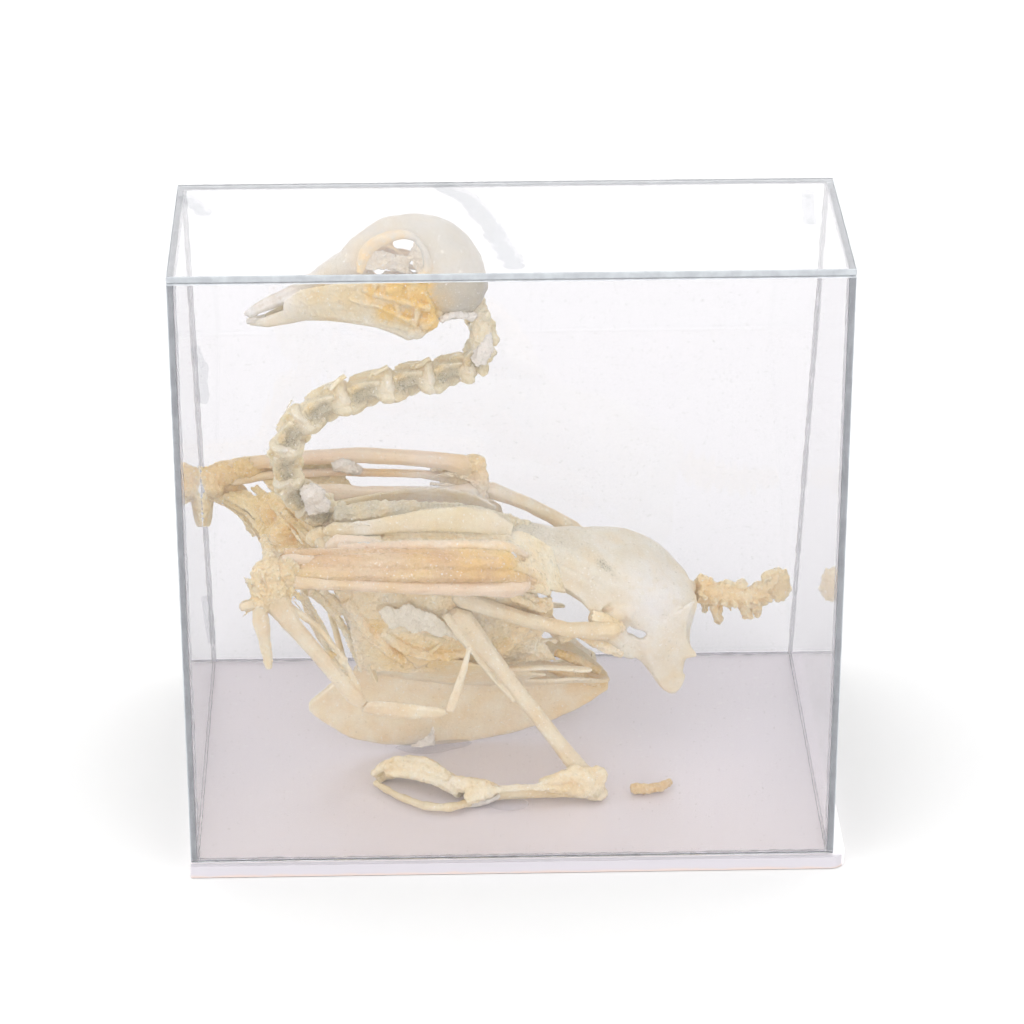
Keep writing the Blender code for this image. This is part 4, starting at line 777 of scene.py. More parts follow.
# The neck: one vertebra is modelled, then copied along the joints that the photograph shows
neck = {
    "joints": [
        (476, 310, 12.6), (484, 342, 12.0), (471, 365, 10.6), (431, 375, 9.0), (391, 383, 7.2),
        (346, 395, 5.0), (304, 415, 2.8), (284, 444, 1.4), (286, 478, 0.4), (304, 504, 0.2),
        (328, 514, 0.2)], "girths": [1.1, 1.24, 1.3, 1.36, 1.40, 1.44, 1.42, 1.38, 1.42, 1.42],
    "length": 10.0, "voxel": 0.2, "melt": 6, "swell": 0.05, "lumps": 0.5, "ripple": 0.4, "wrinkle": 0.35,
    "centrum": [(0, 0.2, 0, 2.1), (0, 2, 0, 2.2), (0, 5, 0, 1.9), (0, 8.4, 0, 2.1), (0, 9.8, 0, 2.0)],
    "arch": [
        [(0, 2.6, 1.3, 1.1), (0, 7.4, 1.5, 1.2)],
        [(0, 3.4, 2.5, 0.3), (0, 5.6, 3.0, 0.4), (0, 7.6, 2.6, 0.3)],
        [(0, 0.6, -2.0, 0.5), (0, 2.4, -2.7, 0.4), (0, 4.4, -2.2, 0.3)]],
    "paired": [
        [(1.4, 3.2, 1.0, 0.9), (1.9, 1.2, 1.4, 1.3), (1.9, -0.4, 1.6, 1.0)],
        [(1.0, 6.0, 1.6, 0.9), (1.6, 9.0, 1.9, 1.3), (1.7, 10.4, 1.8, 0.9)],
        [(1.6, 2.4, -1.4, 0.8), (1.5, 5.4, -1.6, 0.6), (1.7, 8.6, -1.2, 0.9)],
        [(2.0, 1.6, -1.6, 0.55), (1.9, 4.2, -2.1, 0.32), (1.6, 7.6, -2.4, 0.12)],
        [(1.9, 2.6, 0.4, 0.35), (1.9, 5.4, 0.2, 0.3), (1.9, 8.0, 0.9, 0.5)]], "collar": (2.5, 1.7, 2.5),
    "spots": [(0.55, 2.2), (0.75, 2.0), (0.8, 2.3), (0, 2.6)]}


def makeVertebra():
    paths = [neck["centrum"]] + neck["arch"]
    for path in neck["paired"]:
        paths.append(path)
        paths.append([(-x, y, z, r) for x, y, z, r in path])
    strands = makeStrands([[(Vector((x, y, z)) * mm, r) for x, y, z, r in path] for path in paths])
    bpy.ops.object.select_all(action="DESELECT")
    bpy.ops.mesh.primitive_ico_sphere_add(subdivisions=3, radius=mm, location=(0, 0, -0.2 * mm))
    collar = bpy.context.active_object
    collar.scale = neck["collar"]
    bpy.ops.object.transform_apply(location=True, rotation=True, scale=True)
    vertebra = joinAll([strands, collar], "vertebra")
    addRemesh(vertebra, neck["voxel"])
    addSmooth(vertebra, neck["melt"])
    applyAll(vertebra)
    return vertebra


def makeNeck():
    model = makeVertebra()
    joints = [birdSpot(*joint) for joint in neck["joints"]]
    near = (onBird(0, 1, 0) - onBird(0, 0, 0)).normalized()
    spans = {"neck_upper": (0, 3), "neck_middle": (3, 7), "neck_lower": (7, 10)}
    for node, (first, last) in spans.items():
        for place in range(first, last):
            start, end = joints[place], joints[place + 1]
            along = (end - start).normalized()
            dorsal = near.cross(along).normalized()
            side = along.cross(dorsal)
            girth = neck["girths"][place]
            stretch = (end - start).length / (neck["length"] * mm)
            turn = Matrix((side * girth, along * stretch, dorsal * girth)).transposed().to_4x4()
            piece = model.copy()
            piece.data = model.data.copy()
            piece.name = "neck_bone_" + str(place + 1)
            scene.collection.objects.link(piece)
            piece.data.transform(Matrix.Translation(start) @ turn)
            addDisplace(piece, swells, neck["lumps"])
            addDisplace(piece, ripples, neck["ripple"])
            addDisplace(piece, wrinkles, neck["wrinkle"])
            addThinning(piece)
            applyAll(piece)
            finishPiece(piece, materials["neck_bone"], [node])
            spots = [start + (end - start) * share + near * out * mm * (girth if share else 1)
                     for share, out in neck["spots"]]
            middle, lower, hollow, chalkAndLight = spots
            paintTones(piece, {"grey": [(middle, 1.9 * girth, 1.0), (lower, 1.6 * girth, 1.1)],
                               "stain": [(hollow - dorsal * 2.2 * mm, 1.6, 0.6)],
                               "chalkAndLight": [(chalkAndLight, 2.6, 0.35)]})
    bpy.data.objects.remove(model)


makeNeck()
threads = {
    "strands": [
        [(346, 377, 6, 0.24), (333, 382, 6, 0.16), (319, 387, 6, 0.08)],
        [(428, 360, 9, 0.2), (414, 363, 9, 0.14), (403, 364, 9, 0.08)],
        [(292, 400, 4, 0.22), (287, 410, 4, 0.15), (283, 419, 4, 0.08)],
        [(486, 364, 11, 0.2), (478, 372, 11, 0.15), (470, 378, 11, 0.1)],
        [(345, 376, 6, 0.5), (336, 383, 6, 0.6), (330, 390, 6, 0.5)],
        [(430, 359, 9, 0.6), (422, 364, 9, 0.7), (416, 368, 9, 0.5)],
        [(388, 366.5, 8, 0.5), (380, 371, 8, 0.6), (374, 375, 8, 0.5)]]}
growPiece("neck_threads", growParts(threads),
          {"voxel": 0.14, "melt": 2, "swell": 0.04, "lumps": 0.4, "ripple": 0.3},
          tissueFinish["pale_tissue"])
print("neck made")


# Pelvis and tail, each filled out with what has dried on them
pelvisLook = {"voxel": 0.32, "melt": 20, "swell": 0.12, "lumps": 0.35, "ripple": 0.15}
pelvisParts = {
    "sheets": [
        ([[(600, 645, 11), (619, 656, 11), (636, 663, 10.6), (650, 674, 10.2), (661, 689, 10)],
          [(640, 640, 11), (655, 650, 11), (668, 664, 10.6), (674, 680, 10.2), (677, 690, 10)],
          [(692, 600, 9), (693, 630, 10), (694, 650, 10.2), (686, 664, 10.2), (683, 682, 10)]], 1.0),
        ([[(512, 545, 9), (540, 556, 9.4), (580, 575, 10.6), (612, 600, 11.4)],
          [(516, 570, 11.4), (542, 580, 11), (572, 586, 11), (602, 609, 11.6)],
          [(520, 588, 12.4), (544, 592, 12), (568, 591, 11.8), (596, 618, 12)]], 1.3)],
    "strands": [
        [(600, 646, 11, 0.9), (622, 657, 11, 0.9), (642, 668, 11, 0.8), (661, 688, 10.4, 0.8),
         (676, 690, 10.2, 0.8), (685, 674, 10, 0.8)],
        [(684, 660, 10.4, 0.8), (692, 655, 10.4, 1.0), (697, 653, 10.4, 0.9)],
        [(590, 632, 12, 1.6), (606, 636, 12, 1.8), (622, 648, 11.4, 1.4)]],
    "blobs": [((606, 624, 12.5), (3.4, 1.8, 3.0)), ((622, 614, 12), (3.0, 1.4, 2.2))]}
pelvisFit = {
    "melt": 14, "spurMelt": 60, "middle": (620, 600), "fades": [(-150, 0), (-130, 1), (105, 1), (125, 0)],
    "spur": (676, 652, 10), "spurRadius": 12,
    "outline": [
        (515, 523), (549, 524.6), (584, 525.7), (601, 525.7), (619, 527), (636, 531.6), (653, 540),
        (669, 552), (679, 564.5), (688, 574), (695, 584), (698, 604), (695, 617), (692, 629), (691, 646),
        (698, 653), (697, 658), (688, 661), (686, 682), (679, 691), (669, 694.5), (660, 689), (650, 674),
        (636, 663), (619, 656), (601, 646)]}
pelvis = growPiece("pelvis_bone", [copySolid("pelvis")] + growParts(pelvisParts), pelvisLook,
                   materials["pelvis_bone"], ["pelvis"])
fitOutline(pelvis, pelvisFit["middle"], pelvisFit["outline"], pelvisFit["fades"])
addSmooth(pelvis, pelvisFit["melt"])
spur = pelvis.vertex_groups.new(name="spur")
for vertex in pelvis.data.vertices:
    near = 1 - (vertex.co - birdSpot(*pelvisFit["spur"])).length / (pelvisFit["spurRadius"] * mm)
    if near > 0:
        spur.add([vertex.index], min(near * 2, 1), "REPLACE")
addSmooth(pelvis, pelvisFit["spurMelt"], "spur")
applyAll(pelvis)
paintTones(pelvis, bodyTones)

tailParts = {
    "strands": [
        [(697, 591, 0, 3.0), (712, 593, 0, 3.0), (728, 596, 0, 2.7), (748, 597, 0, 2.7),
         (762, 592, 0, 2.6)],
        [(712, 604, 1, 1.2), (715, 612, 1, 1.0), (718, 620, 1, 0.9)],
        [(742, 606, 1, 1.2), (746, 613, 1, 1.0), (752, 618, 1, 0.8)]],
    "blobs": [
        ((703, 580, 0), (1.6, 1.6, 1.2)), ((727, 584, 0), (1.6, 1.4, 1.1)),
        ((742, 584, 0), (1.6, 1.4, 1.1)), ((756, 606, 0), (1.8, 1.4, 2.0))]}
tail = growPiece("tail_bone", [copySolid("tail")] + growParts(tailParts),
                 {"voxel": 0.2, "melt": 4, "swell": 0.05, "lumps": 1.0, "ripple": 0.8, "wrinkle": 0.4},
                 materials["tail_bone"], ["tail"])
paintTones(tail, bodyTones)
plough = growPiece("pygostyle_bone", [copySolid("pygostyle")] + growParts({
    "strands": [[(756, 590, 0, 2.2), (768, 586, 0, 1.8), (780, 576, 0, 1.0), (787, 569, 0, 0.6)],
                [(764, 598, 0, 1.2), (778, 592, 0, 0.9), (788, 580, 0, 0.6)]]}),
    {"voxel": 0.2, "melt": 4, "swell": 0.05, "lumps": 1.0, "ripple": 0.8, "wrinkle": 0.5},
    materials["tail_bone"], ["pygostyle"])
paintTones(plough, bodyTones)
print("pelvis and tail made")


# Dried muscle, sinew and skin that still join the bones
tissues = {
    "near_forearm_tissue": {
        "finish": "muscle", "slot": "wing_bone", "melt": 30, "ripple": 0.3, "wrinkle": 0.15,
        "sheets": [
            ([[(285, 551, 24), (330, 552, 22), (400, 551, 22), (460, 552, 22.5), (502, 554, 22.5)],
              [(272, 562, 29), (340, 561, 27), (400, 561, 25.6), (460, 562, 24.6), (506, 563, 23.6)],
              [(264, 574, 31), (340, 574, 28.6), (400, 576, 27), (470, 578, 25), (520, 579, 23)],
              [(266, 586, 31), (340, 585, 29.3), (400, 587, 27.5), (470, 589, 25.4), (538, 590, 23)]],
             0.8)],
        "strands": [
            [(296, 562, 29.0, 0.9), (330, 562, 28.2, 1.7), (400, 562, 26.4, 2.2), (460, 563, 25.0, 2.3),
             (498, 563, 24.0, 2.2), (514, 565, 22.6, 1.6), (530, 570, 20.6, 0.7)],
            [(280, 573, 30.4, 1.4), (340, 573, 28.9, 1.9), (400, 574, 27.1, 2.0), (460, 574, 25.4, 2.1),
             (510, 576, 23.8, 1.9), (536, 582, 21.4, 0.8)],
            [(284, 553, 27, 1.2), (330, 554, 25.4, 1.3), (400, 554, 24.3, 1.3), (460, 554, 23.6, 1.4),
             (504, 555, 22.6, 1.3), (524, 560, 19, 0.7)]],
        "fibres": [
            ([(262, 565, 31.0), (330, 567, 29.8), (420, 569, 27.6), (520, 575, 24.6)],
             [(262, 588, 31.6), (330, 576, 30), (420, 577, 28), (530, 581, 24.4)], 4, 0.2)]},
    "near_humerus_skin": {
        "finish": "pink", "slot": "wing_bone", "melt": 8, "wrinkle": 0.1,
        "strands": [
            [(338, 549, 20.5, 1.2), (400, 547.5, 21, 1.6), (460, 547, 21.3, 1.7), (500, 548, 21.4, 1.6),
             (514, 551, 20.4, 1.3), (528, 556, 18, 0.6)]]},
    "near_elbow_tissue": {
        "finish": "pale_tissue", "slot": "wing_bone", "melt": 24, "wrinkle": 0.15, "ripple": 0.3,
        "strands": [
            [(498, 563, 23.4, 1.4), (512, 566, 22.6, 2.0), (528, 573, 20, 1.9), (544, 580, 16, 1.2)],
            [(500, 548, 21.2, 1.2), (514, 550, 19.4, 1.4), (530, 556, 15, 1.0)],
            [(510, 582, 22.8, 1.0), (530, 587, 21, 1.3), (548, 592, 17, 0.9)]],
        "sheets": [
            ([[(504, 534, 10), (525, 534, 9.5), (552, 548, 9)],
              [(506, 550, 18), (530, 556, 15), (556, 568, 10.6)],
              [(512, 566, 22), (534, 572, 18), (560, 580, 11)],
              [(518, 586, 22.4), (540, 588, 18), (566, 594, 11.4)]], 1.4)]},
    "scapula_fill": {
        "finish": "pale_tissue", "slot": "shoulder_bone",
        "sheets": [
            ([[(322, 538, 11), (352, 531, 12), (400, 530, 12), (450, 531, 12), (512, 532, 11)],
              [(326, 545, 13), (352, 538, 12.6), (400, 538, 12.6), (450, 539, 12.6), (512, 540, 12.6)],
              [(328, 553, 18), (352, 547, 18), (400, 546, 18.6), (450, 546, 19), (512, 548, 19)]], 1.0)],
        "strands": [
            [(345, 527, 12, 0.7), (362, 524, 12.4, 0.8), (388, 529, 12.6, 0.7)],
            [(384, 533, 13, 0.6), (430, 534.5, 13, 0.6), (480, 536, 12.8, 0.6), (512, 537, 12.4, 0.7)],
            [(330, 545, 15, 1.3), (352, 541, 14.6, 1.4), (380, 541, 14.4, 1.1)]]},
    "near_wrist_tissue": {
        "finish": "dried_tissue", "slot": "hand_bone", "ripple": 1.0, "wrinkle": 0.8,
        "blobs": [
            ((268, 574, 31), (4.0, 2.6, 3.8)), ((270, 591, 31.5), (4.4, 2.8, 4.0)),
            ((262, 603, 32), (3.2, 2.2, 2.2)), ((284, 570, 30), (4, 2.6, 3)),
            ((247, 606, 32), (1.9, 1.3, 1.2))],
        "strands": [
            [(256, 597, 32, 1.0), (250, 587, 32, 0.5), (244, 576, 32.3, 0.15)],
            [(254, 606, 32, 0.7), (247, 612, 32, 0.4), (243, 617, 32, 0.12)],
            [(256, 583, 32, 0.8), (249, 581, 32, 0.4), (245, 584, 32, 0.12)],
            [(268, 600, 33, 0.8), (276, 612, 32, 0.6), (280, 622, 31, 0.15)],
            [(270, 562, 30, 1.8), (268, 550, 24, 1.3), (264, 538, 12, 1.0)],
            [(268, 600, 32, 1.8), (262, 612, 32.5, 1.5), (262, 625, 32.8, 1.2)]],
        "fibres": [
            ([(258, 562, 31), (262, 578, 34), (268, 600, 33.5)],
             [(292, 558, 30), (296, 578, 32), (292, 604, 32)], 9, 0.35),
            ([(280, 590, 32), (300, 612, 30), (318, 640, 27)],
             [(296, 590, 31), (312, 606, 27), (330, 640, 24)], 4, 0.3)]},
    "shoulder_web": {
        "finish": "dried_tissue", "slot": "wing_bone",
        "sheets": [
            ([[(263, 498, -20), (273, 492, -14), (286, 500, -8)],
              [(256, 520, -19), (277, 520, -11), (306, 526, -3)],
              [(264, 546, -8), (284, 549, -3), (318, 549, 5)]], 1.0)],
        "fibres": [
            ([(208, 498, -27), (236, 512, -25), (256, 534, -18), (266, 552, -4)],
             [(262, 486, -24), (286, 508, -10), (304, 528, -3), (322, 548, 8)], 14, 0.5),
            ([(262, 500, -16), (280, 520, -6), (300, 545, 8)],
             [(300, 505, -2), (318, 524, 2), (340, 540, 10)], 8, 0.45)],
        "blobs": [
            ((275, 512, -14), (4, 3, 4)), ((290, 535, -4), (5, 3, 4)), ((322, 538, 8), (4, 3, 2.4))]},
    "far_hand_tissue": {
        "finish": "dried_tissue", "slot": "hand_bone",
        "blobs": [
            ((208, 478, -28), (3.4, 2.4, 3.2)), ((226, 473, -28), (4.6, 2.6, 3.4)),
            ((248, 468, -27), (4.6, 2.4, 3.0)), ((214, 487, -27), (2.6, 2.4, 2.6)),
            ((204, 484, -27), (1.6, 2.0, 3.0))],
        "strands": [
            [(208, 485, -28, 1.3), (200, 487, -28, 0.9), (192, 488, -28, 0.6)],
            [(199, 494, -28, 1.0), (200, 508, -28, 1.0), (201, 527, -28, 0.4)],
            [(212, 470, -28, 0.7), (203, 470, -28, 0.4), (197, 466, -28, 0.15)],
            [(206, 476, -28, 0.8), (198, 480, -28, 0.4), (192, 479, -28, 0.12)],
            [(212, 482, -28, 0.7), (206, 493, -28, 0.4), (206, 500, -28, 0.12)],
            [(207, 488, -28, 1.6), (224, 498, -27.5, 1.4), (242, 514, -27, 1.3), (256, 534, -26, 1.2)]],
        "fibres": [
            ([(204, 468, -28), (240, 460, -28), (285, 458, -26)],
             [(206, 490, -28), (240, 486, -28), (285, 478, -25)], 10, 0.45)]},
    "far_forearm_tissue": {
        "finish": "dried_tissue", "slot": "wing_bone",
        "sheets": [
            ([[(262, 458, -27), (300, 456, -26), (330, 456, -25), (362, 458, -24)],
              [(262, 478, -26), (300, 478, -25), (330, 478, -24), (346, 478, -23)],
              [(275, 496, -20), (300, 500, -18), (330, 501, -17), (378, 500, -17)]], 0.8),
            ([[(428, 456, -22), (452, 455, -20), (474, 458, -19)],
              [(438, 474, -20.5), (460, 478, -19), (483, 482, -18)],
              [(443, 500, -18), (464, 503, -18), (485, 502, -18)]], 1.4)],
        "blobs": [
            ((474, 464, -19), (3.0, 2.4, 2.6)), ((479, 482, -18), (2.6, 2.2, 4)),
            ((478, 498, -18), (2.8, 2.2, 3))],
        "fibres": [
            ([(362, 460, -24), (400, 460, -22), (440, 462, -21)],
             [(362, 475, -23), (400, 475, -22), (440, 474, -21)], 2, 0.3),
            ([(430, 468, -20), (455, 460, -18), (482, 470, -17)],
             [(430, 490, -18), (455, 496, -17), (484, 505, -17)], 7, 0.4)]},
    "thorax_tissue": {
        "finish": "warm", "slot": "rib_bone",
        "sheets": [
            ([[(332, 590, 15), (400, 590, 16), (470, 592, 16.5), (552, 598, 13)],
              [(345, 612, 14.5), (400, 606, 16.4), (470, 612, 16.2), (552, 616, 13)],
              [(352, 640, 12), (400, 646, 12.6), (470, 648, 13), (540, 638, 11)],
              [(358, 668, 9), (400, 672, 10), (470, 670, 10), (524, 662, 9)]], 0.8)],
        "strands": [
            [(345, 600, 15.6, 1.5), (372, 636, 13.6, 1.6), (404, 662, 11.4, 1.3)],
            [(380, 632, 14, 1.2), (410, 650, 13.4, 1.6), (446, 656, 13, 1.5), (472, 650, 13, 1.2)],
            [(546, 602, 13.4, 1.6), (522, 630, 13, 1.7), (498, 656, 11, 1.5)],
            [(480, 600, 17, 1.2), (505, 612, 16, 1.5), (530, 618, 14.4, 1.3)],
            [(500, 590, 17, 1.0), (520, 600, 16, 1.3), (545, 612, 14, 1.0)]]},
    "breast_strands": {
        "finish": "pale_tissue", "slot": "shoulder_bone",
        "strands": [
            [(302, 592, 22, 0.5), (318, 618, 15, 0.6), (332, 645, 9, 0.7), (345, 668, 5, 0.8)],
            [(312, 592, 20, 0.9), (335, 615, 14, 0.9), (350, 640, 9, 1.0), (362, 668, 5, 1.0)],
            [(305, 600, 27, 0.45), (318, 625, 25, 0.5), (326, 648, 24, 0.6), (334, 657, 24, 1.0)],
            [(322, 592, 16, 1.2), (348, 614, 13, 1.4), (360, 640, 10, 1.4), (368, 666, 7, 1.4)]]},
    "hip_tissue": {
        "finish": "warm", "slot": "pelvis_bone",
        "sheets": [
            ([[(470, 592, 18), (505, 590, 17), (534, 593, 15)],
              [(470, 606, 18), (505, 606, 16), (538, 608, 14)],
              [(478, 640, 12), (518, 640, 10), (540, 632, 9)],
              [(490, 662, 9), (520, 662, 9), (556, 660, 8)]], 0.9)],
        "strands": [
            [(549, 590, 12, 0.5), (549, 598, 12, 0.45), (550, 610, 12, 0.5)],
            [(560, 640, 8, 1.2), (580, 632, 9, 1.2), (600, 634, 10, 1.6)],
            [(531, 650, 9, 0.6), (545, 640, 9, 0.5), (556, 642, 9, 0.6)],
            [(590, 616, 13.6, 1.5), (606, 622, 13.6, 2.0), (616, 626, 12.8, 1.8), (624, 630, 11.8, 0.9)],
            [(575, 630, 11.5, 1.2), (590, 638, 11.5, 1.7), (604, 645, 11.2, 1.8), (622, 655, 11, 1.0)],
            [(512, 655, 8, 1.0), (528, 650, 8, 1.8), (546, 656, 7, 1.2)],
            [(548, 668, 4, 1.0), (572, 674, 4, 1.6), (598, 684, 2, 1.0)],
            [(556, 652, 3, 1.0), (576, 660, 2, 1.4), (600, 672, 1, 1.0)]]},
    "ankle_tissue": {
        "finish": "pale_tissue", "slot": "foot_bone", "melt": 10, "wrinkle": 0.15,
        "blobs": [
            ((591, 786, 33), (3.4, 2.8, 3.2)), ((598, 776, 33), (2.4, 2, 2.6)),
            ((596, 794, 33), (2.8, 2.6, 1.8)), ((482, 790, 31), (4.2, 2.4, 2.2))],
        "strands": [
            [(585, 790, 33, 2.2), (570, 787, 33, 1.9), (548, 786, 33, 1.5)],
            [(540, 784, 33, 1.2), (560, 778, 33, 1.6), (577, 775, 33, 2.2), (592, 778, 33, 2.8)],
            [(570, 766, 32, 1.4), (582, 778, 33, 2.4), (590, 788, 33, 3.0)],
            [(452, 781, 26, 1.6), (468, 786, 29, 2.2), (486, 788, 31, 2.2)],
            [(466, 800, 32, 1.5), (474, 796, 32, 1.8), (484, 794, 32, 1.8)],
            [(462, 788, 27, 1.6), (432, 771, 22, 1.3), (402, 765, 19, 1.2), (382, 768, 16, 1.0),
             (372, 775, 15.6, 0.7)],
            [(455, 782, 25, 1.4), (425, 762, 20, 1.1), (396, 760, 17, 1.0), (378, 768, 15, 0.8)],
            [(460, 792, 28, 1.6), (434, 780, 24, 1.4), (406, 773, 20, 1.3), (386, 774, 17, 1.1)]],
        "fibres": [
            ([(600, 780, 33), (570, 780, 34), (520, 784, 34), (470, 786, 31)],
             [(600, 796, 33), (570, 792, 34), (520, 791, 34), (470, 797, 31)], 6, 0.3)]}}
webLook = {"voxel": 0.22, "melt": 4, "swell": 0.05, "lumps": 0.7, "ripple": 0.6, "wrinkle": 0.5}
for name, plan in tissues.items():
    look = {**webLook, **{key: plan[key] for key in ("melt", "wrinkle", "ripple") if key in plan}}
    piece = growPiece(name, growParts(plan), look, tissueFinish[plan["finish"]])
    paintTones(piece, bodyTones)
print("tissue made")


# Glue
glues = {
    "glue_skull_foot": (
        "white", "head",
        {"strands": [[(440, 322, 8, 0.9), (452, 315, 8, 1.1), (464, 316, 7, 1.0), (474, 318, 6, 1.2)]]}),
    "glue_neck_top": (
        "bone", "bird",
        {
            "strands": [
                [(478, 300, 9, 1.8), (479, 318, 13, 2.5), (481, 336, 14, 2.6), (480, 350, 13.8, 2.0)]]}),
    "glue_neck_side": (
        "white", "bird",
        {
            "strands": [
                [(486, 330, 14.6, 1.0), (486, 344, 15.6, 1.8), (481, 356, 15.4, 2.1),
                 (474, 362, 15, 1.3)]]}),
    "glue_wing": (
        "white", "bird",
        {
            "strands": [
                [(352, 548, 20, 1.1), (366, 547, 20.5, 1.3), (382, 548, 21, 1.1)],
                [(333, 467, -22, 1.3), (344, 465, -21, 2.1), (352, 468, -21, 1.8), (360, 471, -22, 1.1)],
                [(510, 552, 22, 0.8), (516, 558, 22, 0.7)]]}),
    "glue_thorax": (
        "cream", "bird",
        {
            "sheets": [
                ([[(378, 612, 18), (387, 605, 18.6), (397, 609, 18.6), (408, 603, 18.6), (421, 610, 18.4),
                   (434, 614, 18.2), (445, 623, 18), (467, 641, 17)],
                  [(382, 617, 18.2), (390, 615, 18.8), (400, 618, 18.8), (412, 617, 18.8),
                   (424, 623, 18.6), (436, 625, 18.4), (448, 632, 18), (466, 643, 17)],
                  [(386, 622, 18), (392, 629, 18.4), (403, 627, 18.4), (413, 634, 18.4), (425, 631, 18.2),
                   (437, 637, 18), (449, 636, 17.6), (464, 645, 16.8)]], 0.5)]}),
    "glue_foot_drop": (
        "white", "bird",
        {
            "strands": [
                [(466, 806, 31, 0.6), (480, 804, 31, 1.1), (492, 799, 31, 0.9), (500, 795, 31, 0.5)]]}),
    "glue_keel_chip": (
        "white", "bird",
        {
            "sheets": [
                ([[(412, 745, 3), (424, 738, 3), (434, 726, 2.6)],
                  [(410, 748, 4.2), (424, 747, 4.2), (436, 746, 4)]], 0.6)]})}
gluePlans = {"white": whiteGlue, "cream": creamGlue, "bone": tissueFinish["pale_tissue"]}
for name, (kind, frameName, plan) in glues.items():
    parts = growParts(plan, headSpot if frameName == "head" else birdSpot)
    growPiece(name, parts, {"voxel": 0.2, "melt": 4, "swell": 0.05, "lumps": 0.9, "ripple": 0.6,
                            "wrinkle": 0.5}, gluePlans[kind])
growPiece("glue_neck_ball", [copySolid("glue_neck")] + growParts({"blobs": [
    ((312, 494, 5), (2.9, 2.6, 2.6)), ((322, 505, 5), (2.2, 2.2, 2.0))]}),
    {"voxel": 0.2, "melt": 3, "swell": 0.05, "lumps": 1.0, "ripple": 0.8, "wrinkle": 0.8},
    whiteGlue, ["glue_neck"])
for node in ("glue_keel", "glue_foot"):
    growPiece(node + "_puddle", [copySolid(node)],
              {"voxel": 0.2, "melt": 10, "swell": 0.0, "lumps": 0.15, "ripple": 0.1},
              clearGlue, [node])
print("glue made")


# The case: five clear panels, smeared, dusty and scratched, with sawn edges painted grey as painted shade
# for the darkening that refraction gives acrylic edges
case = {
    "bevel": 0.22, "thick": 2.6, "tint": (0.905, 0.897, 0.910), "smearTint": (0.68, 0.69, 0.71),
    "scratch": (0.89, 0.87, 0.90), "dust": (0.78, 0.77, 0.76), "ior": 1.49,
    "case_top": ((0, 0, 151.6), (0, 0, 1)), "case_front": ((0, -50, 0), (0, 1, 0)),
    "smears": {
        "case_top": [
            (4.4, [(444, 186), (468, 198), (490, 224), (503, 246), (514, 264)]),
            (2.6, [(807, 192), (810, 222)]), (3.2, [(187, 198), (204, 212)])],
        "case_front": [(2.2, [(196, 352), (203, 368), (203, 398)]), (1.7, [(206, 600), (212, 640)])]}}


def addVector(tree, operation, first, second):
    node = addNode(tree, "ShaderNodeVectorMath", operation=operation)
    for socket, value in zip(node.inputs, (first, second)):
        if isinstance(value, Vector):
            socket.default_value = value
        elif value:
            tree.links.new(value, socket)
    return node


def smearMask(tree, coords, panel):
    mask = 0.0
    start, facing = (Vector(row) for row in case[panel])
    for radius, path in case["smears"][panel]:
        points = [seenOn(x, y, start * mm, facing) for x, y in path]
        for foot, tip in zip(points, points[1:]):
            run = tip - foot
            past = addVector(tree, "SUBTRACT", coords, foot)
            share = addVector(tree, "DOT_PRODUCT", past.outputs["Vector"], run / run.length_squared)
            along = addMath(tree, "MINIMUM", addMath(tree, "MAXIMUM", share.outputs["Value"], 0.0), 1.0)
            near = addVector(tree, "SCALE", run, None)
            tree.links.new(along, near.inputs["Scale"])
            gap = addVector(tree, "DISTANCE", past.outputs["Vector"], near.outputs["Vector"])
            reach = addMath(tree, "DIVIDE", gap.outputs["Value"], radius * mm)
            mask = addMath(tree, "MAXIMUM", addMath(tree, "SUBTRACT", 1.0, reach), mask)
    cloud = addMath(tree, "MULTIPLY", addNoise(tree, coords, 330, 3), 0.75)
    return addRamp(tree, addMath(tree, "SUBTRACT", mask, cloud), 0.0, 0.06)


def clearFinish(name, panel=""):
    material, tree, shader = startMaterial(name)
    coords = addNode(tree, "ShaderNodeTexCoord").outputs["Object"]
    colour = (*case["tint"], 1)
    if panel:
        colour = addMix(tree, smearMask(tree, coords, panel), colour, case["smearTint"])
    lengthways = addNode(tree, "ShaderNodeMapping", Scale=(1, 1, 0.015))
    tree.links.new(coords, lengthways.inputs["Vector"])
    scratch = addRamp(tree, addNoise(tree, lengthways.outputs[0], 1100, 2), 0.60, 0.70)
    colour = addOver(tree, colour, scratch, 0.5, case["scratch"])
    dust = addRamp(tree, addNoise(tree, coords, 1300, 0, 0.5), 0.765, 0.79)
    colour = addMix(tree, dust, colour, case["dust"])
    setShader(tree, shader, BaseColor=colour, Roughness=0.0, TransmissionWeight=1.0, IOR=case["ior"])
    return material


def edgeFinish(name):
    material, tree, shader = startMaterial(name)
    coords = addNode(tree, "ShaderNodeTexCoord").outputs["Object"]
    cloud = addNoise(tree, coords, 260, 5, 0.65)
    # painted shade: the grey stands in for the darkening that refraction gives an acrylic edge
    grey = addRamp(tree, cloud, 0.4, 0.62, (0.42, 0.44, 0.47), (0.53, 0.56, 0.585))
    setShader(tree, shader, BaseColor=grey, Roughness=0.5, TransmissionWeight=0.35, IOR=case["ior"])
    return material


clearPanel = clearFinish("clear_acrylic")
smeared = {panel: clearFinish("smeared_" + panel, panel) for panel in case["smears"]}
sawnShadedEdge = edgeFinish("sawn_shaded_edge")


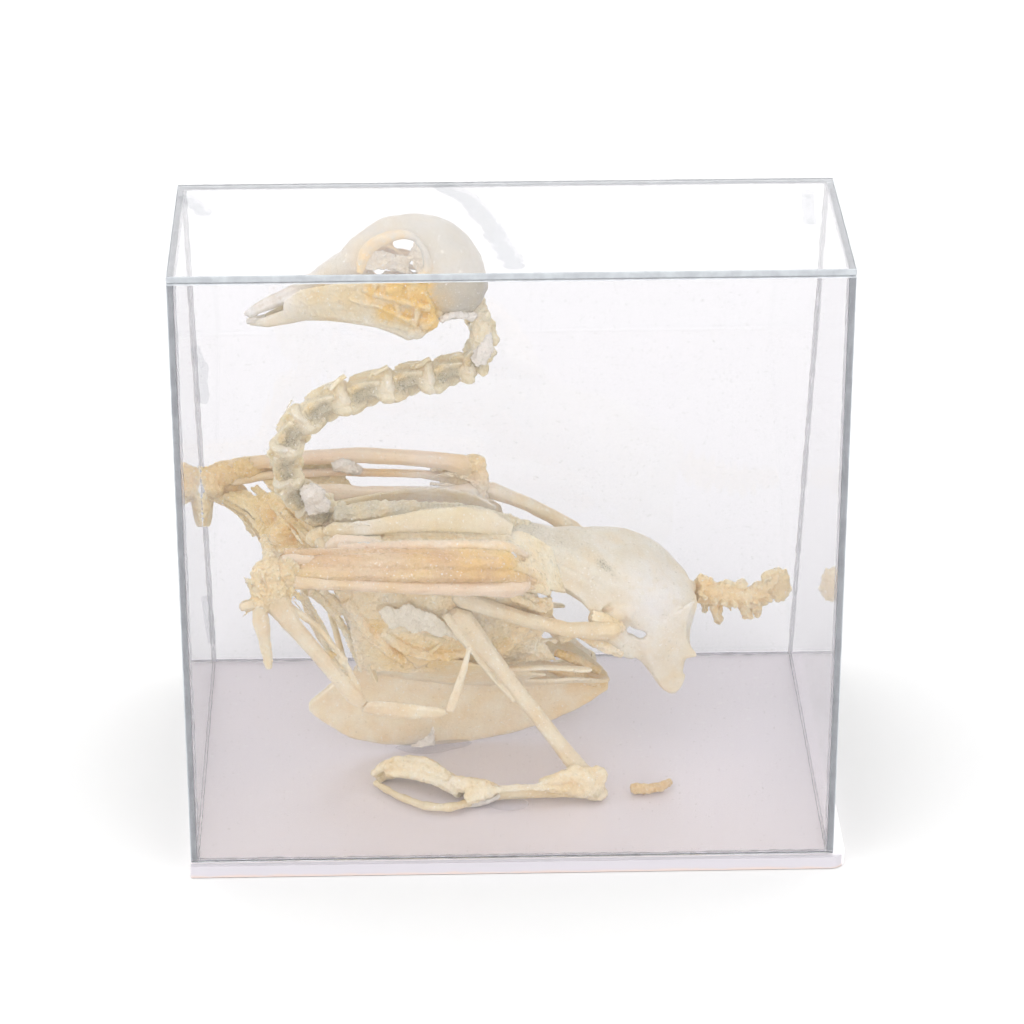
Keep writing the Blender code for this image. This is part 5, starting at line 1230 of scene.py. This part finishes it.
def makePanel(node):
    piece = copySolid(node)
    piece.name = node + "_panel"
    bpy.ops.object.mode_set(mode="EDIT")
    bpy.ops.mesh.select_all(action="SELECT")
    bpy.ops.mesh.tris_convert_to_quads()
    bpy.ops.object.mode_set(mode="OBJECT")
    edge = piece.modifiers.new("edge", "BEVEL")
    edge.width = case["bevel"] * mm
    edge.segments = 2
    applyAll(piece)
    piece.data.materials.clear()
    piece.data.materials.append(smeared.get(node, clearPanel))
    piece.data.materials.append(sawnShadedEdge)
    for face in piece.data.polygons:
        corners = [piece.data.vertices[index].co for index in face.vertices]
        narrow = min((a - b).length for a, b in zip(corners, corners[1:] + corners[:1]))
        foot = face.normal.z < -0.5
        face.material_index = 1 if narrow < case["thick"] * mm and not foot else 0
    pick(piece)
    bpy.ops.object.shade_flat()
    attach(piece, "root")
    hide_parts(node)


for panel in ("case_front", "case_back", "case_left", "case_right", "case_top"):
    makePanel(panel)

# Glue lines where the panels meet, each from one inner corner of the case to the next
seams = {
    "corners": {
        "frontLeftFoot": (-74.6, -48.2, 3.5), "frontRightFoot": (71.8, -48.2, 3.5),
        "backLeftFoot": (-74.6, 48.0, 3.5), "backRightFoot": (71.8, 48.0, 3.5),
        "frontLeftTop": (-74.6, -48.2, 149.7), "frontRightTop": (71.8, -48.2, 149.7),
        "backLeftTop": (-74.6, 2.3, 149.7), "backRightTop": (71.8, 2.3, 149.7)},
    "lines": [
        ("frontLeftFoot", "frontRightFoot", 0.3), ("backLeftFoot", "backRightFoot", 0.34),
        ("frontLeftFoot", "backLeftFoot", 0.09), ("frontRightFoot", "backRightFoot", 0.09),
        ("frontLeftFoot", "frontLeftTop", 0.34), ("frontRightFoot", "frontRightTop", 0.3),
        ("backLeftFoot", "backLeftTop", 0.4), ("backRightFoot", "backRightTop", 0.36),
        ("backLeftTop", "backRightTop", 0.22), ("frontLeftTop", "frontRightTop", 0.2),
        ("frontLeftTop", "backLeftTop", 0.25), ("frontRightTop", "backRightTop", 0.25)], "beads": 70,
    "sway": 0.06}


def makeSeams():
    rng = random.Random(5)
    paths = []
    for first, last, radius in seams["lines"]:
        start, end = (Vector(seams["corners"][name]) for name in (first, last))
        path = []
        for k in range(seams["beads"] + 1):
            place = start + (end - start) * k / seams["beads"]
            sway = Vector([rng.uniform(-1, 1) * seams["sway"] for axis in range(3)])
            path.append(((place + sway) * mm, radius * rng.uniform(0.7, 1.2)))
        paths.append(path)
    piece = joinAll([makeStrands(paths)], "case_seams")
    finishPiece(piece, seamGlue)


makeSeams()

# The base: white with a lilac cast, rosier and paler toward its front as painted light, its front face a
# strip of its own painted dark as painted shade
base = {"deep": (0.79, 0.757, 0.795), "pale": (0.83, 0.785, 0.825), "streak": (0.82, 0.79, 0.81),
        "spot": (0.85, 0.83, 0.85), "rosy": (0.90, 0.84, 0.845), "front": (0.43, 0.41, 0.44),
        "low": (0.50, 0.41, 0.38), "frontFrom": 0.498, "frontTo": 0.4995}


def baseFinish(name):
    material, tree, shader = startMaterial(name)
    coords = addNode(tree, "ShaderNodeTexCoord").outputs["Object"]
    colour = addRamp(tree, addNoise(tree, coords, 14, 2), 0.3, 0.7, base["deep"], base["pale"])
    streaks = addNode(tree, "ShaderNodeMapping", Scale=(1, 0.03, 1))
    tree.links.new(coords, streaks.inputs["Vector"])
    fine = addRamp(tree, addNoise(tree, streaks.outputs[0], 800, 3), 0.4, 0.7)
    colour = addOver(tree, colour, fine, 0.12, base["streak"])
    spots = addRamp(tree, addNoise(tree, coords, 620, 0, 0.5), 0.76, 0.78)
    colour = addOver(tree, colour, spots, 0.8, base["spot"])
    axes = addNode(tree, "ShaderNodeSeparateXYZ")
    tree.links.new(coords, axes.inputs[0])
    forward = addMath(tree, "MULTIPLY", axes.outputs["Y"], -10.0)
    # painted light: the base grows paler and rosier toward its front
    colour = addOver(tree, colour, addRamp(tree, forward, 0.0, 0.48), 0.8, base["rosy"])
    # painted shade: the front face is painted a dark grey-lilac; it turns darker and browner towards its
    # bottom
    front = addRamp(tree, forward, base["frontFrom"], base["frontTo"])
    colour = addMix(tree, front, colour, base["front"])
    lift = addMath(tree, "MULTIPLY", axes.outputs["Z"], 333.0)
    uneven = addMath(tree, "ADD", lift, addMath(tree, "MULTIPLY", addNoise(tree, coords, 160, 4), 0.5))
    low = addRamp(tree, uneven, 0.34, 0.5, (1, 1, 1), (0, 0, 0))
    colour = addOver(tree, colour, front, low, base["low"])
    setShader(tree, shader, BaseColor=colour, Roughness=0.28)
    return material


frame["nodes"]["case_base"].data.materials.clear()
frame["nodes"]["case_base"].data.materials.append(baseFinish("white_acrylic"))
print("case made")


# Floor and light
floorLook, tree, shader = startMaterial("floor")
setShader(tree, shader, BaseColor=(0.57, 0.57, 0.57, 1), Roughness=0.9)
bpy.ops.object.select_all(action="DESELECT")
bpy.ops.mesh.primitive_plane_add(size=12, location=(0, 0, -0.0002))
floor = bpy.context.active_object
floor.name = "floor"
floor.data.materials.append(floorLook)

light = {"toward": (-0.25, -0.9, 0.42), "from": 0.1, "dim": 1.6, "bright": 3.1}
world = bpy.data.worlds.new("studio")
scene.world = world
world.use_nodes = True
sky = world.node_tree
coords = sky.nodes.new("ShaderNodeTexCoord")
toLamp = addNode(sky, "ShaderNodeVectorMath", operation="DOT_PRODUCT")
toLamp.inputs[1].default_value = Vector(light["toward"]).normalized()
sky.links.new(coords.outputs["Generated"], toLamp.inputs[0])
glow = addNode(sky, "ShaderNodeMapRange")
for key, value in (("From Min", light["from"]), ("From Max", 1.0), ("To Min", light["dim"]),
                   ("To Max", light["bright"])):
    glow.inputs[key].default_value = value
sky.links.new(toLamp.outputs["Value"], glow.inputs["Value"])
sky.links.new(glow.outputs[0], sky.nodes["Background"].inputs["Strength"])
sky.nodes["Background"].inputs["Color"].default_value = (1, 1, 1, 1)
print("stage set")

total = sum(len(obj.data.loop_triangles) or len(obj.data.polygons) * 2 for obj in scene.objects
            if obj.type == "MESH" and not obj.hide_render)
print("triangles, about", total)
